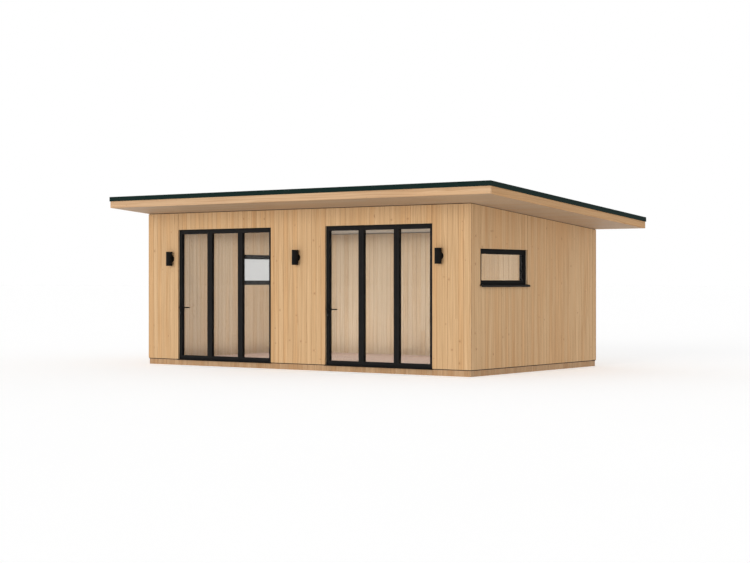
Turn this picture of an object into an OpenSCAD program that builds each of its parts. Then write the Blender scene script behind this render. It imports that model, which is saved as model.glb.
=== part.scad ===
/*
 A garden office pod: one timber room under a mono-pitch roof that is high at
 the front and oversails the front and the right side. Two three-leaf glazed
 folding doors fill the front, and each side wall has one low, wide window.

 Inside this file x runs along the front from the left wall's outer face,
 y runs back from the front wall's outer face, and z is up from the ground.
 Each node is moved at the end so that the origin lies under the middle of
 the whole pod. All sizes are in millimetres.
*/

/* [Body] */
// Width over the cladding, left to right
body_w = 6260; // [5800:10:8000]
// Depth over the cladding, front to rear
body_d = 3675; // [3150:5:4800]
// Height of the soffit where it meets the front wall's face
front_h = 2450; // [2380:10:3000]
// Fall of the roof, as a share of its run towards the rear
roof_fall = 0.0754; // [0.03:0.0002:0.1]

/* [Base] */
// Height of the beams that the floor rests on
beam_h = 63; // [50:1:150]
// Width of each beam and joist
beam_w = 45; // [38:1:75]
// Number of floor joists between the end beams
joist_count = 10; // [8:1:14]
// Thickness of the floor deck
deck_t = 22; // [18:1:35]
// How far the plinth stands back from the cladding
plinth_recess = 13; // [5:1:19]

/* [Walls] */
// Thickness of the framed and lined wall behind the cladding
core_t = 130; // [110:1:200]
// Thickness of the cladding boards
clad_t = 20; // [16:1:30]
// Gap left between the floor deck and the bottom of the cladding
clad_gap = 12; // [8:1:30]

/* [Roof] */
// Oversail past the front wall
front_overhang = 861; // [300:1:1000]
// Oversail past the right wall
side_overhang = 861; // [300:1:1000]
// Height of the timber fascia
fascia_h = 104; // [80:1:160]
// Thickness of the fascia boards
fascia_t = 22; // [18:1:30]
// Thickness of the boards that line the soffit and the ceiling
soffit_t = 12; // [9:1:18]
// Height of the dark trim that edges the roof, above the fascia
trim_h = 70; // [50:1:120]
// How far the trim stands out in front of the fascia
trim_out = 11; // [5:1:20]
// Width of the trim, seen from above
trim_w = 60; // [45:1:90]
// How far the trim stands above the roof membrane
trim_upstand = 24; // [10:1:40]
// Thickness of the roof membrane
membrane_t = 5; // [3:1:10]

/* [Doors] */
// Width of each door opening
door_w = 1940; // [1600:5:2100]
// Height of each door frame
door_h = 2091; // [1900:1:2150]
// Distance from the left end of the front to the first door
door_x = 660; // [500:5:900]
// Width of the wall between the two doors
pier_w = 1060; // [400:1:1300]
// How far frames stand back from the face of the cladding
frame_recess = 30; // [20:1:45]
// Depth of the door frame, front to rear
door_frame_d = 75; // [65:1:90]
// Depth of each door leaf
leaf_d = 60; // [50:1:64]
// Width of the frame that shows beside the leaves
jamb_w = 9; // [6:1:25]
// Height of the frame that shows over the leaves
head_h = 20; // [12:1:30]
// Height of the frame that shows under the leaves
foot_h = 22; // [12:1:30]
// How far the stop behind the leaves reaches past the frame's face
stop_w = 7; // [5:1:8]
// Width of a leaf's stiles
stile_w = 47; // [40:1:80]
// Height of a leaf's top and bottom rails
rail_h = 47; // [40:1:120]
// Clearance between a leaf and the frame, and between two leaves
leaf_gap = 3; // [2:1:5]
// Thickness of the sealed glass units
glass_t = 24; // [18:1:28]
// How far the glass stands back from the face of its leaf
glass_recess = 28; // [15:1:30]
// How far the door sill stands out in front of the cladding
door_sill_out = 18; // [10:1:40]
// How far the door sill runs past each side of its opening
door_sill_side = 8; // [0:1:20]
// Height of the lip at the front of the door sill
door_sill_lip = 14; // [13:1:25]

/* [Handles] */
// Height of the levers above the ground
lever_z = 923; // [850:1:1100]
// Distance from the side of the opening to the lever's axis
lever_x = 35; // [30:1:42]
// Length of a lever
lever_l = 104; // [90:1:150]
// Thickness of a lever
lever_t = 16; // [12:1:20]
// Distance from the door's face to the middle of the lever
lever_out = 50; // [40:1:60]
// Width of the plate behind a lever
plate_w = 30; // [24:1:36]
// Height of the plate behind a lever
plate_h = 220; // [160:1:260]
// How far the plate reaches above the lever's axis
plate_rise = 88; // [40:1:100]
// Thickness of the plate behind a lever
plate_t = 8; // [5:1:10]
// Distance from the lever down to the middle of the key cylinder
key_drop = 83; // [70:1:90]
// Diameter of the key cylinder's rose
key_d = 18; // [14:1:22]

/* [Windows] */
// Width of each window opening
window_w = 1300; // [900:5:1500]
// Height of each window frame
window_h = 527; // [400:1:700]
// Height of the window opening's bottom above the ground
window_z = 1285; // [1000:1:1400]
// Distance along the wall from the corner to the window
window_y = 247; // [200:1:400]
// Depth of the window frame
window_frame_d = 70; // [60:1:90]
// Width of the window frame's face
window_face = 73; // [50:1:90]
// How far the glass stands back from the face of the window frame
window_glass_recess = 12; // [8:1:30]
// How far a window sill stands out from the cladding
sill_out = 35; // [20:1:60]
// How far a window sill runs past each side of its opening
sill_side = 20; // [0:1:50]
// Height of the lip at the front of a window sill
sill_lip = 29; // [20:1:40]
// Thickness of a window sill at the frame
sill_t = 18; // [10:1:24]
// Fall of a window sill from the frame to its front edge
sill_fall = 10; // [4:1:14]

/* [Wall lights] */
// Diameter of the light's body
light_d = 101; // [80:1:120]
// Height of the light's body
light_h = 228; // [160:1:260]
// Height of the light's middle above the ground
light_z = 1710; // [1500:1:1900]
// Diameter of the round plate on the wall
light_plate_d = 108; // [90:1:130]
// Thickness of the round plate on the wall
light_plate_t = 14; // [8:1:20]
// Distance from the wall to the axis of the light's body
light_out = 60; // [58:1:90]
// Distance from a door opening to the axis of the light beside it
light_side = 141; // [80:1:200]
// Wall thickness of the light's body
light_wall = 6; // [3:1:10]
// Depth of the open well at each end of the light's body
light_well = 30; // [15:1:50]

/* [Hidden] */
$fn = 64;

// Heights and faces that several pieces share
deck_top = beam_h + deck_t;
clad_z = deck_top + clad_gap;
door_top = deck_top + door_h;
wall_t = clad_t + core_t;
door_x2 = door_x + door_w + pier_w;
window_y2 = body_d - window_y - window_w;

// Outline of the roof's fascia faces
roof_x1 = body_w + side_overhang;
roof_y0 = -front_overhang;

// Middle of the whole pod, sills and roof trim included
left_reach = max(trim_out, sill_out);
mid_x = (roof_x1 + trim_out - left_reach) / 2;
mid_y = (roof_y0 + body_d) / 2;

// Height of the soffit's underside at a distance back from the front wall
function soffit_z(y) = front_h - roof_fall * y;

// A box from its low corner to its high corner
module block(low, high) {
    translate(low) cube(high - low);
}

// Everything leaves through here, so that the origin is under the middle
module placed() {
    translate([-mid_x, -mid_y, 0]) children();
}

// A profile drawn in (y, z), drawn out along x from x0 to x1
module along_x(x0, x1) {
    translate([x0, 0, 0])
        rotate([90, 0, 90]) linear_extrude(x1 - x0) children();
}

// A profile drawn in (x, z), drawn out along y from y0 to y1
module along_y(y0, y1) {
    translate([0, y1, 0])
        rotate([90, 0, 0]) linear_extrude(y1 - y0) children();
}

// A wall slab whose top follows the soffit
module wall_slab(x0, x1, y0, y1, z0) {
    along_x(x0, x1)
        polygon([[y0, z0], [y1, z0], [y1, soffit_z(y1)], [y0, soffit_z(y0)]]);
}

// A layer of the roof, between two heights above the soffit's underside
module roof_layer(x0, x1, y0, y1, low, high) {
    along_x(x0, x1)
        polygon([
            [y0, soffit_z(y0) + low], [y1, soffit_z(y1) + low],
            [y1, soffit_z(y1) + high], [y0, soffit_z(y0) + high]
        ]);
}

// A layer of the roof that stays the same distance inside its fascia faces
module inset_layer(inset, low, high) {
    roof_layer(inset, roof_x1 - inset, roof_y0 + inset, body_d - inset, low, high);
}

// ---- Base and floor ----

module base_frame() {
    x0 = plinth_recess;
    x1 = body_w - plinth_recess;
    y0 = plinth_recess;
    y1 = body_d - plinth_recess;
    pitch = (x1 - x0 - beam_w) / (joist_count + 1);
    color("peru") placed() {
        block([x0, y0, 0], [x1, y0 + beam_w, beam_h]);
        block([x0, y1 - beam_w, 0], [x1, y1, beam_h]);
        for (i = [0 : joist_count + 1])
            block([x0 + i * pitch, y0, 0], [x0 + i * pitch + beam_w, y1, beam_h]);
    }
}

module floor_deck() {
    color("rosybrown") placed()
        block(
            [plinth_recess, plinth_recess, beam_h],
            [body_w - plinth_recess, body_d - plinth_recess, deck_top]
        );
}

// ---- Walls ----

module front_pier(x0, x1) {
    color("burlywood") placed()
        block([x0, clad_t, deck_top], [x1, wall_t, door_top]);
}

module front_wall_left() {
    front_pier(clad_t, door_x);
}

module front_wall_centre() {
    front_pier(door_x + door_w, door_x2);
}

module front_wall_right() {
    front_pier(door_x2 + door_w, body_w - clad_t);
}

module front_wall_header() {
    color("burlywood") placed()
        wall_slab(clad_t, body_w - clad_t, clad_t, wall_t, door_top);
}

module rear_wall() {
    color("burlywood") placed()
        wall_slab(clad_t, body_w - clad_t, body_d - wall_t, body_d - clad_t, deck_top);
}

// A window opening cut through a side wall, past both its faces
module window_hole(x0, x1, y) {
    block([x0 - 1, y, window_z], [x1 + 1, y + window_w, window_z + window_h]);
}

module side_wall(x0, x1, y0, y1, z0, y_window) {
    difference() {
        wall_slab(x0, x1, y0, y1, z0);
        window_hole(x0, x1, y_window);
    }
}

module left_wall() {
    color("burlywood") placed()
        side_wall(clad_t, wall_t, wall_t, body_d - wall_t, deck_top, window_y2);
}

module right_wall() {
    color("burlywood") placed()
        side_wall(body_w - wall_t, body_w - clad_t, wall_t, body_d - wall_t, deck_top, window_y);
}

// ---- Cladding ----

module front_cladding() {
    color("tan") placed() difference() {
        wall_slab(0, body_w, 0, clad_t, clad_z);
        for (x = [door_x, door_x2])
            block([x, -1, clad_z - 1], [x + door_w, clad_t + 1, door_top]);
    }
}

module rear_cladding() {
    color("tan") placed()
        wall_slab(0, body_w, body_d - clad_t, body_d, clad_z);
}

module left_cladding() {
    color("tan") placed()
        side_wall(0, clad_t, clad_t, body_d - clad_t, clad_z, window_y2);
}

module right_cladding() {
    color("tan") placed()
        side_wall(body_w - clad_t, body_w, clad_t, body_d - clad_t, clad_z, window_y);
}

// ---- Folding doors ----

leaf_z0 = deck_top + foot_h + leaf_gap;
leaf_z1 = door_top - head_h - leaf_gap;
leaf_w = (door_w - 2 * jamb_w - 4 * leaf_gap) / 3;
frame_y1 = frame_recess + door_frame_d;
leaf_y1 = frame_recess + leaf_d;
door_glass_y = frame_recess + glass_recess;

// Left side of a leaf, counted from 0 at the left of the opening at x
function leaf_x(x, i) = x + jamb_w + leaf_gap + i * (leaf_w + leaf_gap);

// The frame: a deep outer ring, and a stop behind the leaves
module door_frame(x) {
    color("dimgray") placed() difference() {
        block([x, frame_recess, deck_top], [x + door_w, frame_y1, door_top]);
        block(
            [x + jamb_w, frame_recess - 1, deck_top + foot_h],
            [x + door_w - jamb_w, leaf_y1, door_top - head_h]
        );
        block(
            [x + jamb_w + stop_w, leaf_y1 - 1, deck_top + foot_h + stop_w],
            [x + door_w - jamb_w - stop_w, frame_y1 + 1, door_top - head_h - stop_w]
        );
    }
}

module door_leaf(x, i) {
    x0 = leaf_x(x, i);
    x1 = x0 + leaf_w;
    color("darkslategray") placed() difference() {
        block([x0, frame_recess, leaf_z0], [x1, leaf_y1, leaf_z1]);
        block(
            [x0 + stile_w, frame_recess - 1, leaf_z0 + rail_h],
            [x1 - stile_w, leaf_y1 + 1, leaf_z1 - rail_h]
        );
    }
}

// The three sealed units of one door
module door_glass(x) {
    color("lightblue", 0.5) placed()
        for (i = [0 : 2])
            block(
                [leaf_x(x, i) + stile_w, door_glass_y, leaf_z0 + rail_h],
                [leaf_x(x, i) + leaf_w - stile_w, door_glass_y + glass_t, leaf_z1 - rail_h]
            );
}

// A handle on a plane that faces -y, with its lever's axis at x = 0, z = 0
module handle() {
    key_proud = 3;
    stem_r = lever_t / 2;
    block([-plate_w / 2, -plate_t, plate_rise - plate_h], [plate_w / 2, 0, plate_rise]);
    rotate([90, 0, 0]) cylinder(h = lever_out, r = stem_r);
    translate([0, -lever_out, 0]) sphere(r = stem_r);
    translate([0, -lever_out, 0])
        rotate([0, 90, 0]) cylinder(h = lever_l - 2 * stem_r, r = stem_r);
    translate([lever_l - 2 * stem_r, -lever_out, 0]) sphere(r = stem_r);
    translate([0, 0, -key_drop])
        rotate([90, 0, 0]) cylinder(h = plate_t + key_proud, d = key_d);
}

// One handle on the outer face of the first leaf, and one on its inner face
module door_handles(x) {
    color("black") placed() {
        translate([x + lever_x, frame_recess, lever_z]) handle();
        translate([x + lever_x, leaf_y1, lever_z]) mirror([0, 1, 0]) handle();
    }
}

// A folded threshold that runs under the cladding and over the plinth
module door_sill(x) {
    lip = 3;
    color("black") placed() {
        block([x, clad_t, deck_top], [x + door_w, frame_recess, clad_z]);
        along_x(x - door_sill_side, x + door_w + door_sill_side)
            polygon([
                [clad_t, deck_top], [clad_t, clad_z], [-door_sill_out, clad_z],
                [-door_sill_out, clad_z - door_sill_lip],
                [lip - door_sill_out, clad_z - door_sill_lip],
                [lip - door_sill_out, deck_top]
            ]);
    }
}

module left_door_frame() {
    door_frame(door_x);
}

module left_door_leaf_1() {
    door_leaf(door_x, 0);
}

module left_door_leaf_2() {
    door_leaf(door_x, 1);
}

module left_door_leaf_3() {
    door_leaf(door_x, 2);
}

module left_door_glass() {
    door_glass(door_x);
}

module left_door_handles() {
    door_handles(door_x);
}

module left_door_sill() {
    door_sill(door_x);
}

module right_door_frame() {
    door_frame(door_x2);
}

module right_door_leaf_1() {
    door_leaf(door_x2, 0);
}

module right_door_leaf_2() {
    door_leaf(door_x2, 1);
}

module right_door_leaf_3() {
    door_leaf(door_x2, 2);
}

module right_door_glass() {
    door_glass(door_x2);
}

module right_door_handles() {
    door_handles(door_x2);
}

module right_door_sill() {
    door_sill(door_x2);
}

// ---- Windows ----
// Each is drawn for the left wall, with its outer face at x = 0. The right
// wall's window is the same one turned half round the middle of the body.

module on_right_wall() {
    translate([body_w, body_d, 0]) rotate(180) children();
}

window_x1 = frame_recess + window_frame_d;
window_top = window_z + window_h;

module window_frame() {
    difference() {
        block([frame_recess, window_y2, window_z], [window_x1, window_y2 + window_w, window_top]);
        block(
            [frame_recess - 1, window_y2 + window_face, window_z + window_face],
            [window_x1 + 1, window_y2 + window_w - window_face, window_top - window_face]
        );
    }
}

module window_glass() {
    x0 = frame_recess + window_glass_recess;
    block(
        [x0, window_y2 + window_face, window_z + window_face],
        [x0 + glass_t, window_y2 + window_w - window_face, window_top - window_face]
    );
}

// A folded sill: it sits on the opening's bottom and laps over the cladding
module window_sill() {
    lip = 4;
    front_z = window_z + sill_t - sill_fall;
    face_z = front_z + sill_fall * sill_out / (sill_out + frame_recess);
    along_y(window_y2, window_y2 + window_w)
        polygon([
            [0, window_z], [frame_recess, window_z],
            [frame_recess, window_z + sill_t], [0, face_z]
        ]);
    along_y(window_y2 - sill_side, window_y2 + window_w + sill_side)
        polygon([
            [0, window_z], [0, face_z], [-sill_out, front_z],
            [-sill_out, front_z - sill_lip], [lip - sill_out, front_z - sill_lip],
            [lip - sill_out, window_z]
        ]);
}

module left_window_frame() {
    color("dimgray") placed() window_frame();
}

module left_window_glass() {
    color("lightblue", 0.5) placed() window_glass();
}

module left_window_sill() {
    color("black") placed() window_sill();
}

module right_window_frame() {
    color("dimgray") placed() on_right_wall() window_frame();
}

module right_window_glass() {
    color("lightblue", 0.5) placed() on_right_wall() window_glass();
}

module right_window_sill() {
    color("black") placed() on_right_wall() window_sill();
}

// ---- Roof ----

trim_in = trim_w - trim_out;
membrane_top = fascia_h + trim_h - trim_upstand;
membrane_low = membrane_top - membrane_t;

// One board plane that is the soffit outside and the ceiling inside
module soffit_lining() {
    color("tan") placed() inset_layer(fascia_t, 0, soffit_t);
}

// The insulated structure, stepped in behind the edge trim
module roof_panel() {
    color("wheat") placed() {
        inset_layer(fascia_t, soffit_t, fascia_h);
        inset_layer(trim_in, fascia_h, membrane_low);
    }
}

module roof_membrane() {
    color("dimgray") placed() inset_layer(trim_in, membrane_low, membrane_top);
}

module roof_edge_trim() {
    color("darkslategray") placed() difference() {
        inset_layer(-trim_out, fascia_h, fascia_h + trim_h);
        inset_layer(trim_in, fascia_h - 1, fascia_h + trim_h + 1);
    }
}

module front_fascia() {
    color("burlywood") placed()
        roof_layer(0, roof_x1, roof_y0, roof_y0 + fascia_t, 0, fascia_h);
}

module rear_fascia() {
    color("burlywood") placed()
        roof_layer(0, roof_x1, body_d - fascia_t, body_d, 0, fascia_h);
}

module left_fascia() {
    color("burlywood") placed()
        roof_layer(0, fascia_t, roof_y0 + fascia_t, body_d - fascia_t, 0, fascia_h);
}

module right_fascia() {
    color("burlywood") placed()
        roof_layer(roof_x1 - fascia_t, roof_x1, roof_y0 + fascia_t, body_d - fascia_t, 0, fascia_h);
}

// ---- Wall lights ----

// An up-and-down light: a tube with an open well at each end, on a round plate
module wall_light(x) {
    color("black") placed() translate([x, 0, light_z]) {
        rotate([90, 0, 0]) cylinder(h = light_plate_t, d = light_plate_d);
        translate([0, -light_out, -light_h / 2]) difference() {
            cylinder(h = light_h, d = light_d);
            for (z = [-1, light_h - light_well])
                translate([0, 0, z])
                    cylinder(h = light_well + 1, d = light_d - 2 * light_wall);
        }
    }
}

module wall_light_left() {
    wall_light(door_x - light_side);
}

module wall_light_centre() {
    wall_light(door_x + door_w + pier_w / 2);
}

module wall_light_right() {
    wall_light(door_x2 + door_w + light_side);
}

base_frame();
floor_deck();
front_wall_left();
front_wall_centre();
front_wall_right();
front_wall_header();
rear_wall();
left_wall();
right_wall();
front_cladding();
rear_cladding();
left_cladding();
right_cladding();
left_door_frame();
left_door_leaf_1();
left_door_leaf_2();
left_door_leaf_3();
left_door_glass();
left_door_handles();
left_door_sill();
right_door_frame();
right_door_leaf_1();
right_door_leaf_2();
right_door_leaf_3();
right_door_glass();
right_door_handles();
right_door_sill();
left_window_frame();
left_window_glass();
left_window_sill();
right_window_frame();
right_window_glass();
right_window_sill();
soffit_lining();
roof_panel();
roof_membrane();
roof_edge_trim();
front_fascia();
rear_fascia();
left_fascia();
right_fascia();
wall_light_left();
wall_light_centre();
wall_light_right();
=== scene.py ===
# %% [markdown]
# # A garden office pod
#
# The pod is one timber room. Vertical boards clad it inside and out, two
# three-leaf folding doors glaze the front, each side wall has a low window,
# and a mono-pitch roof oversails the front and the right side.
#
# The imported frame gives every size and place. This script only adds what the
# frame leaves out: single boards with their V joints, mitred metal frames,
# sealed glass units, handles, lamps, screws and the finish of every surface.

import math

import bmesh
import bpy
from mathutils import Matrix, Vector


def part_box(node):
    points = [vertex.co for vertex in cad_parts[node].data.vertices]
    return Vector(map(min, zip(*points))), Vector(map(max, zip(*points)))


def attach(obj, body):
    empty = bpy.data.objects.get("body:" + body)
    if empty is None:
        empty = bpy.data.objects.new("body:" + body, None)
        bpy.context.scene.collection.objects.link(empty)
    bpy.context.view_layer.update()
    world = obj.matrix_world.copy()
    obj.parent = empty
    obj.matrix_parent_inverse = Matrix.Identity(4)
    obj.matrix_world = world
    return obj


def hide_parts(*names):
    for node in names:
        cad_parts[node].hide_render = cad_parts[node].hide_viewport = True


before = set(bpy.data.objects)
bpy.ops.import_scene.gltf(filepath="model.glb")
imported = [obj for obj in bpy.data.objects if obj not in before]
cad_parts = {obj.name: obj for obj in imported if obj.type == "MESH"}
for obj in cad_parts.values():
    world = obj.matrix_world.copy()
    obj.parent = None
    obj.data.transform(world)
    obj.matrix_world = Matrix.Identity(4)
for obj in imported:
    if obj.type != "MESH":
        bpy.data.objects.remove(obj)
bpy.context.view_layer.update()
MM = 0.001
scene = bpy.context.scene
print("nodes in the frame:", len(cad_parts))

# %% [markdown]
# ## Places on the pod
#
# A maker measures from a few faces: the outside of the cladding, the inside
# of the room, the top of the floor and the slope of the soffit. Reading them
# from the frame's own boxes keeps every piece below in step with the frame.

# %% Faces that everything is measured from
clad_low, clad_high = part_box("front_cladding")
LEFT, RIGHT = clad_low.x, clad_high.x
FRONT, REAR = clad_low.y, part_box("rear_cladding")[1].y
CLAD_T, CLAD_Z = clad_high.y - clad_low.y, clad_low.z
ROOM_LEFT, ROOM_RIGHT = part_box("left_wall")[1].x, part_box("right_wall")[0].x
ROOM_FRONT, ROOM_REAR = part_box("front_wall_left")[1].y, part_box("rear_wall")[0].y
DECK_LOW, DECK_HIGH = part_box("floor_deck")
FLOOR_Z = DECK_HIGH.z
FALL = (clad_high.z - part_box("rear_cladding")[1].z) / (REAR - CLAD_T - FRONT)
REVEAL_T = LINING_T = 12 * MM
X_AXIS, Y_AXIS, UP = (1.0, 0.0, 0.0), (0.0, 1.0, 0.0), (0.0, 0.0, 1.0)
SIDES = ("left", "right")


def soffit_z(y):
    """Height of the soffit's underside at a distance from front to rear."""
    return clad_high.z - FALL * (y - FRONT)


def set_in(inner, outer, axis):
    """How far one node's low face stands inside another's."""
    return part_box(inner)[0][axis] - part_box(outer)[0][axis]


def span(node, axis):
    """A node's size along one axis."""
    low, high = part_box(node)
    return high[axis] - low[axis]


def new_object(name, data):
    made = bpy.data.objects.new(name, data)
    scene.collection.objects.link(made)
    return made


print("cladding", round(RIGHT - LEFT, 3), "by", round(REAR - FRONT, 3), "m")
print("the soffit falls", round(1000 * FALL), "mm in each metre")

# %% [markdown]
# ## A short way to write node trees
#
# Every finish and every row of boards is a node tree. Writing out each link
# takes many lines, so one helper adds a node and feeds its sockets in one
# call, and wraps a socket so that sums of sockets read like plain sums.


# %% Node helper
class Value:
    """An output socket that can be used in sums, as a number can."""

    def __init__(self, nodes, socket):
        self.nodes, self.socket = nodes, socket

    def do(self, operation, *others):
        return self.nodes.math(operation, self, *others)

    def __add__(self, other):
        return self.do("ADD", other)

    def __sub__(self, other):
        return self.do("SUBTRACT", other)

    def __rsub__(self, other):
        return self.nodes.math("SUBTRACT", other, self)

    def __mul__(self, other):
        return self.do("MULTIPLY", other)

    def __truediv__(self, other):
        return self.do("DIVIDE", other)


class Nodes:
    """Adds nodes to one tree, each fed by sockets or plain values."""

    def __init__(self, tree):
        self.tree = tree

    def feed(self, socket, value):
        if isinstance(value, Value):
            self.tree.links.new(value.socket, socket)
        elif value is not None:
            socket.default_value = value

    def add(self, kind, feeds=None, **settings):
        made = self.tree.nodes.new(kind)
        for key, value in settings.items():
            setattr(made, key, value)
        for key, value in (feeds or {}).items():
            self.feed(made.inputs[key], value)
        return made

    def value(self, node, output=0):
        return Value(self, node.outputs[output])

    def get(self, kind, feeds=None, output=0, **settings):
        """Adds a node and gives one of its outputs."""
        return self.value(self.add(kind, feeds, **settings), output)

    def math(self, operation, *values, clamp=False):
        feeds = dict(enumerate(values))
        return self.get("ShaderNodeMath", feeds, operation=operation, use_clamp=clamp)

    def vector(self, x, y, z):
        return self.get("ShaderNodeCombineXYZ", {"X": x, "Y": y, "Z": z})

    def split(self, vector):
        node = self.add("ShaderNodeSeparateXYZ", {"Vector": vector})
        return [self.value(node, axis) for axis in range(3)]

    def vmath(self, operation, a, b):
        feeds = {0: a, "Scale" if operation == "SCALE" else 1: b}
        output = "Value" if operation == "DISTANCE" else "Vector"
        return self.get("ShaderNodeVectorMath", feeds, output, operation=operation)

    def mix(self, share, a, b, blend="MIX"):
        feeds = {0: share, 6: a, 7: b}
        return self.get("ShaderNodeMix", feeds, 2, data_type="RGBA", blend_type=blend)

    def mix_shaders(self, share, a, b):
        return self.get("ShaderNodeMixShader", {0: share, 1: a, 2: b})

    def ramp(self, value, low, high, start=0.0, end=1.0):
        """From start to end, smoothly, as a value goes from low to high."""
        feeds = {"Value": value, "From Min": low, "From Max": high, "To Min": start, "To Max": end}
        return self.get("ShaderNodeMapRange", feeds, interpolation_type="SMOOTHSTEP")

    def noise(self, where, scale=1.0, detail=2.0, roughness=0.5):
        feeds = {"Vector": where, "Scale": scale, "Detail": detail, "Roughness": roughness}
        return self.get("ShaderNodeTexNoise", feeds, "Fac")


FLOAT, COLOR, VECTOR = "NodeSocketFloat", "NodeSocketColor", "NodeSocketVector"
GEOMETRY = "NodeSocketGeometry"


def new_group(name, kind, inputs, outputs):
    """A node group; each input is a default value or its socket's type."""
    tree = bpy.data.node_groups.new(name, kind)
    for word, value in inputs.items():
        if isinstance(value, str):
            tree.interface.new_socket(word, in_out="INPUT", socket_type=value)
            continue
        socket_type = COLOR if isinstance(value, tuple) else FLOAT
        socket = tree.interface.new_socket(word, in_out="INPUT", socket_type=socket_type)
        socket.default_value = value
    for word, socket_type in outputs.items():
        tree.interface.new_socket(word, in_out="OUTPUT", socket_type=socket_type)
    nodes = Nodes(tree)
    source = nodes.add("NodeGroupInput")
    return nodes, {word: nodes.value(source, word) for word in inputs}


def labelled(values):
    """Socket names from Python names: line_pitch stands for Line Pitch."""
    return {key.replace("_", " ").title(): value for key, value in values.items()}


def new_material(name):
    """An empty node material and its helper."""
    made = bpy.data.materials.new(name)
    made.use_nodes = True
    made.node_tree.nodes.clear()
    return made, Nodes(made.node_tree)


print("node helper ready")

# %% [markdown]
# ## Camera, light and floor
#
# The camera stands off the front right corner at about head height, with a
# long lens, so upright edges stay upright. The light is a plain soft studio:
# a pale sky all round and one wide, low lamp from the front. Two soft panels,
# at the ceiling and at the floor, keep the room from being a dark hole.

# %% Camera
LENS_MM = 76.32
TURN = math.radians(36.161)
STAND = Vector((12.082, -18.818, 1.344))

lens = bpy.data.cameras.new("camera")
lens.lens = LENS_MM
lens.sensor_width = 36
camera = new_object("camera", lens)
camera.location = Vector((RIGHT, FRONT, 0)) + STAND
camera.rotation_euler = (math.radians(90), 0, TURN)
scene.camera = camera
print("camera", [round(v, 2) for v in camera.location])

# %% Sky, lamps and floor
scene.view_settings.view_transform = "Standard"
HORIZON_LIGHT = 0.92
ZENITH_LIGHT = 0.56
BACKDROP = 1.0
WHITE = (1, 1, 1, 1)
ROOM_PANEL = (5.6, 2.95)
FLOOR_REACH = 400


def make_sky():
    """A white backdrop, and a soft light that is stronger near the horizon."""
    sky = bpy.data.worlds.new("studio")
    sky.use_nodes = True
    sky.node_tree.nodes.clear()
    nodes = Nodes(sky.node_tree)
    height = nodes.split(nodes.get("ShaderNodeTexCoord", output="Generated"))[2]
    fade = nodes.ramp(height, 0.0, 0.8, HORIZON_LIGHT, ZENITH_LIGHT)
    lit = nodes.get("ShaderNodeBackground", {"Color": WHITE, "Strength": fade})
    seen = nodes.get("ShaderNodeBackground", {"Color": WHITE, "Strength": BACKDROP})
    direct = nodes.get("ShaderNodeLightPath", output="Is Camera Ray")
    nodes.add("ShaderNodeOutputWorld", {"Surface": nodes.mix_shaders(direct, lit, seen)})
    scene.world = sky


def front_lamp(height, strength, spread):
    """A wide, far lamp that shines from the front."""
    data = bpy.data.lights.new("front_lamp", "SUN")
    data.energy = strength
    data.angle = math.radians(spread)
    lamp = new_object("front_lamp", data)
    h = math.radians(height)
    toward = Vector((0, -math.cos(h), math.sin(h)))
    lamp.rotation_euler = toward.to_track_quat("Z", "Y").to_euler()
    lamp.visible_glossy = False


def room_lamp(name, height, watts, tilt):
    """A flat lamp that shines down, or up when tilted over; it isn't seen."""
    data = bpy.data.lights.new(name, "AREA")
    data.shape = "RECTANGLE"
    data.size, data.size_y = ROOM_PANEL
    data.energy = watts
    lamp = new_object(name, data)
    lamp.location = ((ROOM_LEFT + ROOM_RIGHT) / 2, (ROOM_FRONT + ROOM_REAR) / 2, height)
    lamp.rotation_euler = (tilt, 0, 0)
    lamp.visible_camera = lamp.visible_glossy = lamp.visible_transmission = False


def floor_finish():
    made, nodes = new_material("studio_floor")
    cloud = nodes.noise(nodes.get("ShaderNodeTexCoord", output="Object"), 0.4)
    body = nodes.get("ShaderNodeBsdfPrincipled", {
        "Base Color": nodes.mix(cloud, (0.93, 0.93, 0.93, 1), (0.95, 0.95, 0.95, 1)),
        "Roughness": 0.9, "Specular IOR Level": 0.0,
        "Emission Color": WHITE, "Emission Strength": 0.35,
    })
    nodes.add("ShaderNodeOutputMaterial", {"Surface": body})
    return made


make_sky()
front_lamp(height=6, strength=1.45, spread=34)
room_lamp("room_lamp_down", soffit_z(ROOM_REAR) - 60 * MM, 50, 0.0)
room_lamp("room_lamp_up", FLOOR_Z + 60 * MM, 42, math.pi)

floor_mesh = bpy.data.meshes.new("floor")
floor_corners = [(-1, -1), (1, -1), (1, 1), (-1, 1)]
floor_mesh.from_pydata(
    [(FLOOR_REACH * x, FLOOR_REACH * y, 0) for x, y in floor_corners], [], [(0, 1, 2, 3)]
)
floor_mesh.materials.append(floor_finish())
new_object("floor", floor_mesh)
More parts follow.
